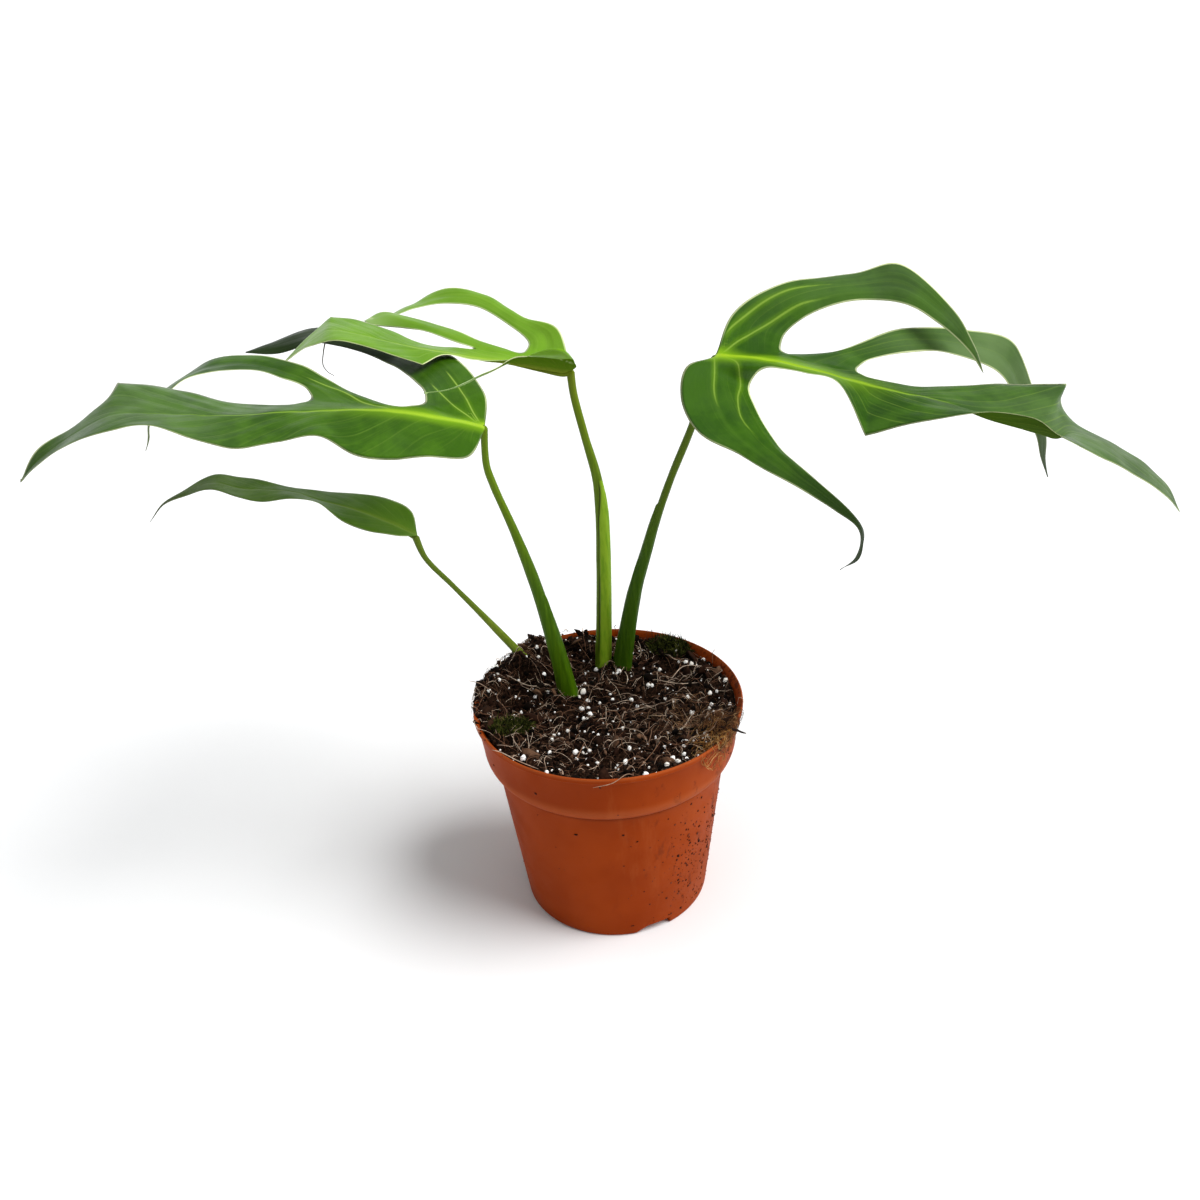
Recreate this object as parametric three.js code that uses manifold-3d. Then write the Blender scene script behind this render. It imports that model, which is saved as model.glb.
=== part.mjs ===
// A split-leaved house plant in a 12 cm nursery pot.
// Millimetres, +Z up. The origin is the middle of the pot's flat underside.
// Seen from the front (looking along +Y), two large blades and one small blade
// reach out to the left (-X) and one large blade reaches out to the right (+X).

import * as THREE from 'three';
import Module from 'manifold-3d';
import { mergeVertices } from 'three/addons/utils/BufferGeometryUtils.js';

const wasm = await Module();
wasm.setup();

// Driving dimensions of the pot.
const POT_HEIGHT = 102;
const RIM_RADIUS = 60;
const RIM_DEPTH = 3;
const LIP = 1.2;
const BASE_RADIUS = 42.4;
const BODY_TAPER = 0.124;
const BASE_CORNER = 1.4;
const WALL = 1.6;
const POT_SIDES = 56;

// The collar is wider than the body and starts with a rounded shoulder.
const COLLAR_HEIGHT = 26;
const COLLAR_STEP = 5;
const SHOULDER_HEIGHT = 8;
const SHOULDER_STEPS = 4;

// Three drain notches in the foot, each with a raised floor above it.
const NOTCH_COUNT = 3;
const NOTCH_BEARING = THREE.MathUtils.degToRad(-69);
const NOTCH_WIDTH = 17.3;
const NOTCH_HEIGHT = 3.8;
const NOTCH_INNER_RADIUS = 33;
const DRAIN_HOLE_RADIUS = 3.5;
const DRAIN_CIRCLE_RADIUS = 22;
const DRAIN_HOLES = 6;

// Driving dimensions of the planting.
const SOIL_LEVEL = 95.5;
const SOIL_TOP_RADIUS = 55.9;
const SOIL_SIDES = 44;
const SOIL_RINGS = 9;
const GAP = 0.3;
const BLADE_THICKNESS = 0.9;
const RHIZOME_RADIUS = 6;

// How finely the coarse leaf blades are divided.
const BLADE_STEPS_ALONG = 2;
const BLADE_STEPS_ACROSS = 2;
const LOBE_STEPS_ALONG = 2;
const RIB_SOFTNESS = 0.5;

// Each rib of a blade is three points: near margin, midrib, far margin.
// A lobe's ribs are: inner margin (toward the tip side), vein, outer margin.
// A lobe grows from one side of the main blade, between ribs `from` and `to`.
// `sharp` lists the ribs where a margin turns a corner, such as a tooth.

const LEFT_BLADE = {
  ribs: [
    [[-43, 3, 231.5], [-43, 4, 232], [-43, 5, 232]],
    [[-48.8, -14, 227.2], [-55, 1, 237], [-56, 6, 237]],
    [[-64, -24, 232], [-68, -2, 241], [-66, 5, 242]],
    [[-76, -27, 233.2], [-78, -4, 244], [-77, -1, 244]],
    [[-89, -30, 236.6], [-90, -6, 246], [-91, 3, 245]],
    [[-103, -27, 244], [-105, -8, 247], [-109, 4, 247]],
    [[-117, -30, 243.8], [-120, -10, 248], [-120, 2, 247]],
    [[-133, -35, 244.5], [-138, -13, 249], [-142, 5, 248]],
    [[-148, -34, 249], [-154, -15, 251], [-169, 8, 255]],
    [[-163, -30, 253], [-167, -17, 253], [-184.4, 6, 258]],
    [[-176, -32, 253], [-180, -19, 254], [-186, -6, 255]],
    [[-193, -30, 248], [-195, -21, 248], [-199, -14, 248]],
    [[-208, -27, 240], [-209, -22, 240], [-211.8, -19, 242]],
    [[-220, -22, 230], [-220, -22, 230.5], [-219.5, -22, 231]],
  ],
  sharp: { near: [], far: [9] },
  lobes: [
    {
      side: 'far', from: 0, to: 2,
      ribs: [
        [[-67, 16, 243], [-56, 19, 241], [-43, 22, 238]],
        [[-72, 30, 242.9], [-63, 36, 245], [-54, 44, 246]],
        [[-84, 52, 243], [-79, 60, 244.5], [-74, 69, 244.5]],
        [[-101, 68, 245.5], [-100, 76, 246.5], [-99, 86, 246.5]],
        [[-120, 75, 247.5], [-122, 83, 249], [-124, 91, 249.5]],
        [[-137, 78, 242.5], [-141, 84, 244.5], [-146, 88, 243.1]],
        [[-152.5, 80, 243], [-153, 81, 243], [-153.5, 81.5, 243]],
      ],
    },
    {
      side: 'far', from: 3, to: 5,
      ribs: [
        [[-115, 16, 249], [-106, 14, 248], [-96, 14, 246]],
        [[-125, 22, 251], [-120, 24, 251], [-117, 30, 253]],
        [[-138, 28, 253], [-138, 34, 253], [-140, 43, 254]],
        [[-154, 30, 252], [-155, 37, 252], [-159, 46, 252]],
        [[-167, 28, 249], [-170, 32, 248], [-173.3, 37.5, 245.3]],
        [[-174, 24, 244], [-175, 26, 244], [-178, 29, 244]],
        [[-179.5, 16, 235.5], [-180.5, 17, 235], [-181, 18, 235]],
        [[-180, 13, 231.5], [-180.5, 13.5, 231.5], [-181, 14, 231.5]],
        [[-181.5, 11, 227], [-182, 11, 227], [-182, 11.5, 227]],
      ],
    },
  ],
};

const MIDDLE_BLADE = {
  ribs: [
    [[-4.4, 47, 241], [-8, 50, 237], [-8.5, 53, 237.5]],
    [[-13, 38, 251], [-20, 48, 240], [-19, 56, 240]],
    [[-30, 42, 246], [-32, 47, 243], [-29, 54.5, 243.5]],
    [[-48, 45, 246], [-48, 47, 246], [-47, 54, 247]],
    [[-61, 45, 249], [-61, 48, 249], [-64, 60, 248]],
    [[-69, 36, 248], [-73, 50, 251], [-75, 63, 250]],
    [[-81, 38, 252], [-85, 52, 254], [-85, 67, 254]],
    [[-95, 42, 256], [-97, 54, 257], [-99, 71, 258]],
    [[-107, 44, 258], [-109, 55, 259], [-111, 72, 260]],
    [[-117, 50, 254], [-117, 56, 255], [-117, 67, 256]],
    [[-123, 55, 250], [-124, 57, 250], [-124, 62, 251]],
    [[-130.2, 58, 245.5], [-130.2, 58, 246], [-130.7, 59, 246]],
  ],
  sharp: { near: [5], far: [8] },
  lobes: [
    {
      side: 'far', from: 0, to: 2,
      ribs: [
        [[-26, 66, 245], [-18.5, 68, 247], [-12.3, 68, 249.5]],
        [[-35, 80, 249.2], [-31.3, 82, 251], [-27.5, 84, 251]],
        [[-49, 92, 254.4], [-48, 97, 257], [-45, 101, 257]],
        [[-63, 97, 255], [-63, 103, 257], [-64, 109, 259]],
        [[-77, 96, 254], [-80, 100, 254], [-83, 105, 252]],
        [[-87, 90, 253], [-90, 92, 252], [-92, 95, 250]],
        [[-95.5, 86, 253.5], [-96.5, 87, 254], [-97, 88, 254]],
      ],
    },
    {
      side: 'far', from: 2, to: 3,
      ribs: [
        [[-57, 60, 249], [-52, 60, 249], [-47, 62, 249]],
        [[-69, 68, 252], [-65, 70, 252], [-62, 74, 252]],
        [[-81, 76, 252], [-80, 80, 254], [-80, 86, 254]],
        [[-90, 80, 252], [-91, 85, 254], [-92, 91, 255]],
        [[-97.5, 82, 252.5], [-98.5, 84, 253.5], [-99.5, 86, 253.5]],
      ],
    },
    {
      side: 'near', from: 0, to: 2,
      ribs: [
        [[-32, 38, 246.5], [-30.5, 37, 247.5], [-28.5, 36, 249.5]],
        [[-38, 30, 246.5], [-38, 29, 247.5], [-37.5, 28, 248]],
        [[-44.5, 22, 246], [-44.5, 21, 247], [-44.5, 20, 247.5]],
        [[-51.5, 15, 245.5], [-51.5, 14, 246.5], [-51, 13, 247]],
        [[-58, 9, 246], [-58, 8, 246.5], [-58, 7.5, 247]],
        [[-65.5, 4.5, 247], [-65.5, 4, 247.5], [-65.5, 4, 247.5]],
      ],
    },
  ],
};

const RIGHT_BLADE = {
  ribs: [
    [[49.5, 14, 252], [50, 15, 252.5], [51, 17, 252.5]],
    [[57, 8, 251], [62, 13, 252], [64, 20, 251]],
    [[68, 5, 250.2], [75, 10, 250], [76.8, 20, 249.8]],
    [[84, 3, 247.5], [88, 7, 247], [90, 15, 247]],
    [[97, -2, 244], [99, 5, 244], [105.5, 14, 243]],
    [[104.2, -20, 229.2], [110, 3, 241], [112, 10, 241]],
    [[121, -22, 234], [123, 0, 238], [130, 11, 236.6]],
    [[138, -24, 237], [137, -3, 235], [149, 14, 234.5]],
    [[153, -26, 238], [158.5, -10, 228], [171, 17, 232.9]],
    [[168, -28, 235], [173, -13, 224], [194, 18, 231]],
    [[176, -28, 229.3], [180, -15, 222], [191, 13, 225.7]],
    [[185, -28, 223], [187, -12, 222], [193, 3, 221]],
    [[200, -26, 214.7], [203, -14, 216], [210, -4, 212]],
    [[220.5, -23, 200.4], [224, -17, 200], [227.1, -12, 199.1]],
    [[233.3, -19, 188], [232.8, -19, 188.5], [232.8, -18.5, 189]],
  ],
  sharp: { near: [5], far: [9] },
  lobes: [
    {
      side: 'far', from: 0, to: 2,
      ribs: [
        [[81, 33, 254], [67, 33, 258], [59.2, 34, 263]],
        [[96, 42, 260.1], [87, 45, 266], [81, 49, 270]],
        [[116, 46, 262.2], [115, 52, 267], [114, 60, 269.6]],
        [[132, 44, 260], [132.2, 49, 267], [131.6, 55, 274]],
        [[146, 38, 252], [150, 41, 254], [152, 44, 257]],
        [[156, 33, 243], [158, 34.5, 243.5], [160, 36, 243.5]],
        [[163, 30, 233.5], [163.5, 30, 233], [163.5, 30.5, 233]],
      ],
    },
    {
      side: 'far', from: 2, to: 4,
      ribs: [
        [[115, 27, 243], [105, 27, 246], [99, 27, 247]],
        [[134, 36, 242], [132, 40, 246], [131, 44, 249.5]],
        [[153, 42, 238], [159, 48, 240], [163, 54, 244]],
        [[173.4, 45, 228.3], [178, 51, 232], [183, 57, 237]],
        [[182.5, 43, 216], [187, 47, 216], [192, 52, 219]],
        [[192, 39, 200], [195, 41, 199], [198, 43, 198]],
        [[194.5, 37, 190], [196, 38, 189], [197.5, 39, 188.5]],
        [[198, 36, 181.5], [198.5, 36, 181], [198.5, 36.5, 181]],
      ],
    },
    {
      side: 'near', from: 0, to: 2,
      ribs: [
        [[63, 4, 244], [54, 5, 247], [39.2, 8, 252]],
        [[64, -6, 237], [56, -8, 239], [34.8, -6, 242]],
        [[71, -18, 227], [62, -20, 231], [41, -24, 235]],
        [[77, -23.5, 221.8], [70, -25.5, 224.5], [55, -28.5, 227.5]],
        [[83.6, -28, 216.6], [78, -30, 218], [72, -34, 218.5]],
        [[96.7, -34, 205], [93.4, -35, 206], [90, -37, 207]],
        [[101.7, -36, 197], [100.4, -37, 198], [98.8, -38, 199]],
        [[102, -37, 191], [101.4, -37, 191], [100.4, -38, 192]],
        [[100.4, -37, 184.4], [99.7, -37, 184.8], [98.9, -37.5, 185.4]],
        [[94, -36.5, 180.5], [93.5, -37, 180.5], [93.5, -37.5, 180.5]],
      ],
    },
  ],
};

const SMALL_BLADE = {
  ribs: [
    [[-85, 61, 157], [-84.5, 62, 157], [-84.5, 63, 157]],
    [[-93, 54, 161.5], [-92, 62, 162], [-87.2, 72, 164.2]],
    [[-104, 50, 166], [-101, 62, 167], [-98, 77, 170]],
    [[-115, 49, 172], [-114, 62, 173], [-113, 78, 173]],
    [[-126, 52, 181], [-127, 63, 177], [-128, 76, 176]],
    [[-138, 54, 183], [-140, 64, 182], [-142, 73, 180]],
    [[-151, 52, 183], [-153, 65, 183], [-154, 75, 183]],
    [[-162, 54, 185], [-164, 66, 184], [-166, 78, 185]],
    [[-174, 59, 187], [-175, 67, 187], [-177, 76, 187]],
    [[-189, 65, 182], [-189, 68, 183], [-191, 71, 182]],
    [[-200, 67, 177], [-200, 68, 177], [-201, 69, 177]],
    [[-209, 67.5, 168], [-209, 68, 168], [-209, 68.5, 168]],
  ],
  sharp: { near: [], far: [] },
  lobes: [],
};

// Each petiole is a route of [x, y, z, radius], from the rhizome to its blade.
const LEFT_PETIOLE = [
  [-15.5, 11, 86, 4.6],
  [-18, 11.4, 98, 4.4],
  [-20.9, 12, 116, 3.6],
  [-28.3, 12, 153.5, 2.6],
  [-35.3, 11, 180.6, 1.9],
  [-42.2, 8, 204.7, 1.5],
  [-44.1, 6.5, 214.4, 1.4],
  [-43.5, 5, 230.8, 1.6],
];
const MIDDLE_PETIOLE = [
  [-1.5, 34, 86, 3.6],
  [-1.3, 35, 98, 3.6],
  [0.1, 38, 120, 3.4],
  [1.4, 42, 149, 3.2],
  [1.8, 45, 173, 2.8],
  [0.6, 46.5, 188, 2.2],
  [-3.7, 48, 207.6, 1.8],
  [-7.5, 49.5, 227, 1.7],
  [-8.2, 50.2, 236.2, 1.8],
];
const RIGHT_PETIOLE = [
  [7.3, 32.4, 86, 4.6],
  [8, 32.4, 97, 4.2],
  [10.7, 32.5, 114, 3.6],
  [15.9, 32, 140, 2.8],
  [21.3, 31, 159, 2.3],
  [25.2, 30, 173, 2],
  [28.4, 29, 183, 1.6],
  [32.8, 26, 197, 1.6],
  [40.9, 21, 220, 1.5],
  [46.7, 17, 240, 1.5],
  [50.2, 15.2, 251.1, 1.7],
];
const SMALL_PETIOLE = [
  [-30, 31, 86, 2.2],
  [-36.4, 34.5, 100.5, 2.2],
  [-42.4, 39.5, 106.2, 1.9],
  [-50.8, 43, 115.6, 1.7],
  [-59.1, 46.5, 124.6, 1.4],
  [-69.6, 51, 135.6, 1.2],
  [-81.4, 57, 147.6, 1.2],
  [-85.3, 62, 155.7, 1.6],
];

// The creeping stem under the soil that carries the petioles.
const RHIZOME_ROUTE = [
  [-31, 33, 81],
  [-27, 20, 80.5],
  [-14, 11, 80.5],
  [-1, 19, 81],
  [4, 36, 81.5],
];

// Heaps and hollows of the soil: [x, y, height, spread].
const SOIL_HEAPS = [
  [-34, 44, 6, 7],
  [-52, 17, 4, 7],
  [-44, -15, 3, 11],
  [46, -25, 4, 9],
  [30, 44, 3, 9],
  [-4, 47, 3, 8],
  [17, 12, -4, 8],
  [0, -30, 1, 16],
];

// Colours, as sRGB.
const TERRACOTTA = 0x9e4520;
const SOIL_BROWN = 0x2a1c16;
const STEM_BROWN = 0x6b5a2e;
const LEAF_GREEN = 0x3c6e28;
const LIME_GREEN = 0x6f9c3c;
const PETIOLE_GREEN = 0x4a8a1e;
const MOSS_GREEN = 0x2f4a1c;
const COIR_TAN = 0x8a6238;

const vector = (point) => new THREE.Vector3(point[0], point[1], point[2]);

// Knot values along a row of points, so that a curve through them never loops.
function knotsThrough(points) {
  const knots = [0];
  for (let i = 1; i < points.length; i += 1) {
    knots.push(knots[i - 1] + Math.sqrt(points[i].distanceTo(points[i - 1])));
  }
  return knots;
}

// Slope of the curve at point i, arriving (step -1) or leaving (step 1).
function slopeAt(points, knots, i, step, sharp) {
  const chord = (a) => points[a + 1].clone().sub(points[a]).divideScalar(knots[a + 1] - knots[a]);
  const last = points.length - 1;
  if (i === 0) return chord(0);
  if (i === last) return chord(last - 1);
  if (sharp.includes(i)) return chord(step < 0 ? i - 1 : i);
  const before = knots[i] - knots[i - 1];
  const after = knots[i + 1] - knots[i];
  const blend = chord(i - 1).multiplyScalar(after).add(chord(i).multiplyScalar(before));
  return blend.divideScalar(before + after);
}

// Cubic step from a to b with the slopes leaving a and arriving at b.
function hermite(a, slopeA, b, slopeB, s) {
  const s2 = s * s;
  const s3 = s2 * s;
  const point = a.clone().multiplyScalar(2 * s3 - 3 * s2 + 1);
  point.addScaledVector(slopeA, s3 - 2 * s2 + s);
  point.addScaledVector(b, 3 * s2 - 2 * s3);
  return point.addScaledVector(slopeB, s3 - s2);
}

// Smooth curve through the points; `at` counts points, so 2.5 is between 2 and 3.
function curveAt(points, knots, at, sharp = []) {
  const i = Math.min(Math.floor(at), points.length - 2);
  const span = knots[i + 1] - knots[i];
  const leave = slopeAt(points, knots, i, 1, sharp).multiplyScalar(span);
  const arrive = slopeAt(points, knots, i + 1, -1, sharp).multiplyScalar(span);
  return hermite(points[i], leave, points[i + 1], arrive, at - i);
}

// Point across a rib: w runs from -1 at the first margin to 1 at the second.
function acrossRib(rib, w) {
  const [first, middle, second] = rib;
  const bend = first.clone().add(second).multiplyScalar(0.5).sub(middle);
  const round = middle.clone().addScaledVector(second.clone().sub(first), w / 2);
  round.addScaledVector(bend, w * w);
  const straight = middle.clone().lerp(w < 0 ? first : second, Math.abs(w));
  return straight.lerp(round, RIB_SOFTNESS);
}

// The mid-surface of a blade: points, and quads of point numbers.
function bladeSheet(blade) {
  const points = [];
  const quads = [];
  const addPoint = (point) => points.push(point) - 1;
  const ribs = blade.ribs.map((rib) => rib.map(vector));
  const midribPoints = ribs.map((rib) => rib[1]);
  const knots = knotsThrough(midribPoints);
  const count = (ribs.length - 1) * BLADE_STEPS_ALONG + 1;
  const along = (i) => i / BLADE_STEPS_ALONG;
  const margin = (k, sharp) => {
    const edge = ribs.map((rib) => rib[k]);
    return Array.from({ length: count }, (_, i) => curveAt(edge, knots, along(i), sharp));
  };
  const midrib = margin(1, []);
  const edges = { near: margin(0, blade.sharp.near), far: margin(2, blade.sharp.far) };

  // A half blade leaves the midrib straight, and turns into a lobe where there is one.
  const arrival = { near: [], far: [] };
  for (const side of ['near', 'far']) {
    for (let i = 0; i < count; i += 1) arrival[side].push(edges[side][i].clone().sub(midrib[i]));
  }
  const lobes = blade.lobes.map((lobe) => ({
    ...lobe,
    steps: (lobe.to - lobe.from) * BLADE_STEPS_ALONG,
    rows: lobe.ribs.map((rib) => rib.map(vector)),
  }));
  for (const lobe of lobes) {
    for (let j = 0; j <= lobe.steps; j += 1) {
      const i = lobe.to * BLADE_STEPS_ALONG - j;
      const w = (2 * j) / lobe.steps - 1;
      const reach = edges[lobe.side][i].clone().sub(midrib[i]);
      const onward = acrossRib(lobe.rows[0], w).sub(edges[lobe.side][i]).normalize();
      arrival[lobe.side][i] = reach.clone().addScaledVector(onward, reach.length()).multiplyScalar(0.5);
    }
  }

  const columns = 2 * BLADE_STEPS_ACROSS;
  const grid = [];
  for (let i = 0; i < count; i += 1) {
    const row = [];
    for (let c = 0; c <= columns; c += 1) {
      const w = c / BLADE_STEPS_ACROSS - 1;
      const side = w < 0 ? 'near' : 'far';
      const reach = edges[side][i].clone().sub(midrib[i]);
      row.push(addPoint(hermite(midrib[i], reach, edges[side][i], arrival[side][i], Math.abs(w))));
    }
    grid.push(row);
  }
  for (let i = 0; i < count - 1; i += 1) {
    for (let c = 0; c < columns; c += 1) {
      quads.push([grid[i][c], grid[i + 1][c], grid[i + 1][c + 1], grid[i][c + 1]]);
    }
  }

  // Each lobe's first row is a stretch of the blade's own margin.
  for (const lobe of lobes) {
    const rootIndex = (j) => lobe.to * BLADE_STEPS_ALONG - j;
    const column = lobe.side === 'near' ? 0 : columns;
    const root = Array.from({ length: lobe.steps + 1 }, (_, j) => grid[rootIndex(j)][column]);
    const middleRoot = points[root[lobe.steps / 2]];
    const veinKnots = knotsThrough([middleRoot, ...lobe.rows.map((rib) => rib[1])]);
    const lobeKnots = [-veinKnots[1], ...veinKnots];
    const rowCount = lobe.rows.length * LOBE_STEPS_ALONG;
    const sheet = [root];
    for (let r = 1; r <= rowCount; r += 1) sheet.push([]);
    for (let j = 0; j <= lobe.steps; j += 1) {
      const w = (2 * j) / lobe.steps - 1;
      const path = [midrib[rootIndex(j)], points[root[j]], ...lobe.rows.map((rib) => acrossRib(rib, w))];
      for (let r = 1; r <= rowCount; r += 1) {
        sheet[r].push(addPoint(curveAt(path, lobeKnots, 1 + r / LOBE_STEPS_ALONG)));
      }
    }
    for (let r = 0; r < rowCount; r += 1) {
      for (let j = 0; j < lobe.steps; j += 1) {
        const quad = [sheet[r][j], sheet[r + 1][j], sheet[r + 1][j + 1], sheet[r][j + 1]];
        quads.push(lobe.side === 'far' ? quad : quad.reverse());
      }
    }
  }
  return { points, quads };
}

// Average normal at each point of a sheet.
function sheetNormals({ points, quads }) {
  const normals = points.map(() => new THREE.Vector3());
  for (const [a, b, c, d] of quads) {
    const first = points[c].clone().sub(points[a]);
    const normal = first.cross(points[d].clone().sub(points[b]));
    for (const index of [a, b, c, d]) normals[index].add(normal);
  }
  return normals.map((normal) => normal.normalize());
}

// Closed solid around a sheet: an upper skin, a lower skin and a wall round the margin.
function thickened(sheet, thickness) {
  const { points, quads } = sheet;
  const normals = sheetNormals(sheet);
  const positions = [];
  for (const side of [0.5, -0.5]) {
    points.forEach((point, i) => {
      const moved = point.clone().addScaledVector(normals[i], side * thickness);
      positions.push(moved.x, moved.y, moved.z);
    });
  }
  const indices = [];
  const lower = points.length;
  const openSides = new Map();
  for (const [a, b, c, d] of quads) {
    indices.push(a, b, c, a, c, d);
    indices.push(lower + a, lower + c, lower + b, lower + a, lower + d, lower + c);
    for (const [p, q] of [[a, b], [b, c], [c, d], [d, a]]) {
      if (!openSides.delete(`${q}_${p}`)) openSides.set(`${p}_${q}`, [p, q]);
    }
  }
  for (const [p, q] of openSides.values()) {
    indices.push(p, lower + p, lower + q, p, lower + q, q);
  }
  return solidFrom(positions, indices);
}

// Six times the signed volume, which is positive where the faces point out.
function signedVolume(positions, indices) {
  let volume = 0;
  for (let i = 0; i < indices.length; i += 3) {
    const [a, b, c] = [0, 1, 2].map((k) => {
      return new THREE.Vector3().fromArray(positions, 3 * indices[i + k]);
    });
    volume += a.dot(b.cross(c));
  }
  return volume;
}

// Manifold solid from positions and triangles, with its faces turned outward.
function solidFrom(positions, indices) {
  const triangles = Array.from(indices);
  if (signedVolume(positions, triangles) < 0) triangles.reverse();
  return new wasm.Manifold(new wasm.Mesh({
    numProp: 3,
    vertProperties: new Float32Array(positions),
    triVerts: new Uint32Array(triangles),
  }));
}

// Manifold solid from a closed three.js geometry.
function solidFromGeometry(geometry) {
  geometry.deleteAttribute('normal');
  geometry.deleteAttribute('uv');
  const merged = mergeVertices(geometry, 1e-4);
  return solidFrom(merged.attributes.position.array, merged.index.array);
}

// Named mesh from the largest connected piece of a solid.
function meshFrom(name, solid, color, roughness = 0.6) {
  const pieces = solid.decompose().sort((a, b) => b.volume() - a.volume());
  const { vertProperties, triVerts } = pieces[0].getMesh();
  const geometry = new THREE.BufferGeometry();
  geometry.setAttribute('position', new THREE.BufferAttribute(new Float32Array(vertProperties), 3));
  geometry.setIndex(new THREE.BufferAttribute(new Uint32Array(triVerts), 1));
  geometry.computeVertexNormals();
  const material = new THREE.MeshStandardMaterial({ color, roughness, metalness: 0 });
  const mesh = new THREE.Mesh(geometry, material);
  mesh.name = name;
  return mesh;
}

// Solid turned about Z from a profile of [radius, height] points.
function turned(profile, sides) {
  const points = profile.map(([radius, height]) => new THREE.Vector2(radius, height));
  const geometry = new THREE.LatheGeometry(points, sides);
  geometry.rotateX(Math.PI / 2);
  return solidFromGeometry(geometry);
}

// Box from its middle and size, turned about Z by `bearing`.
function block(size, middle, bearing = 0) {
  const geometry = new THREE.BoxGeometry(...size);
  geometry.translate(...middle);
  geometry.rotateZ(bearing);
  return solidFromGeometry(geometry);
}

// Round stem along a route of [x, y, z, radius], grown outward by `growth`.
// `across` is a direction that the route never takes.
function stem(route, growth = 0, across = new THREE.Vector3(1, 0, 0)) {
  const sides = 10;
  const steps = 2;
  const points = route.map(vector);
  const knots = knotsThrough(points);
  const count = (route.length - 1) * steps + 1;
  const centres = Array.from({ length: count }, (_, i) => curveAt(points, knots, i / steps));
  const firstStep = centres[0].clone().sub(centres[1]).normalize();
  const lastStep = centres[count - 1].clone().sub(centres[count - 2]).normalize();
  centres[0].addScaledVector(firstStep, growth);
  centres[count - 1].addScaledVector(lastStep, growth);
  const positions = [];
  const indices = [];
  centres.forEach((centre, i) => {
    const before = centres[Math.max(i - 1, 0)];
    const after = centres[Math.min(i + 1, count - 1)];
    const forward = after.clone().sub(before).normalize();
    const side = across.clone().addScaledVector(forward, -across.dot(forward)).normalize();
    const up = forward.clone().cross(side);
    const at = i / steps;
    const k = Math.min(Math.floor(at), route.length - 2);
    const radius = THREE.MathUtils.lerp(route[k][3], route[k + 1][3], at - k) + growth;
    for (let j = 0; j < sides; j += 1) {
      const turn = (2 * Math.PI * j) / sides;
      const point = centre.clone().addScaledVector(side, radius * Math.cos(turn));
      point.addScaledVector(up, radius * Math.sin(turn));
      positions.push(point.x, point.y, point.z);
    }
  });
  for (let i = 0; i < count - 1; i += 1) {
    for (let j = 0; j < sides; j += 1) {
      const a = i * sides + j;
      const b = i * sides + ((j + 1) % sides);
      indices.push(a, b, b + sides, a, b + sides, a + sides);
    }
  }
  const top = (count - 1) * sides;
  for (let j = 1; j < sides - 1; j += 1) {
    indices.push(0, j + 1, j);
    indices.push(top, top + j, top + j + 1);
  }
  return solidFrom(positions, indices);
}

// Outer radius of the pot's tapered body at a height.
const potRadius = (height) => BASE_RADIUS + BODY_TAPER * height;

// The body ends at the step, where the shoulder starts.
const STEP_LEVEL = POT_HEIGHT - COLLAR_HEIGHT;
const BODY_TOP = potRadius(STEP_LEVEL);

// The shoulder, a quarter of an ellipse that ends in the collar, as [radius, height] points.
function shoulder(inset, rise) {
  const points = [];
  for (let i = 0; i <= SHOULDER_STEPS; i += 1) {
    const turn = (Math.PI / 2) * (i / SHOULDER_STEPS);
    const radius = BODY_TOP + COLLAR_STEP * Math.sin(turn) - inset;
    points.push([radius, STEP_LEVEL + rise + (SHOULDER_HEIGHT - rise) * (1 - Math.cos(turn))]);
  }
  return points;
}

// The three raised floors over the drain notches, grown outward by `growth`.
function notchFloors(growth = 0) {
  const length = BASE_RADIUS - NOTCH_INNER_RADIUS;
  const size = [length, NOTCH_WIDTH + 2 * WALL + 2 * growth, NOTCH_HEIGHT + WALL + growth];
  const middle = [NOTCH_INNER_RADIUS - WALL - growth + length / 2, 0, size[2] / 2];
  const floors = [];
  for (let i = 0; i < NOTCH_COUNT; i += 1) {
    floors.push(block(size, middle, NOTCH_BEARING + (2 * Math.PI * i) / NOTCH_COUNT));
  }
  return floors;
}

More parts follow.
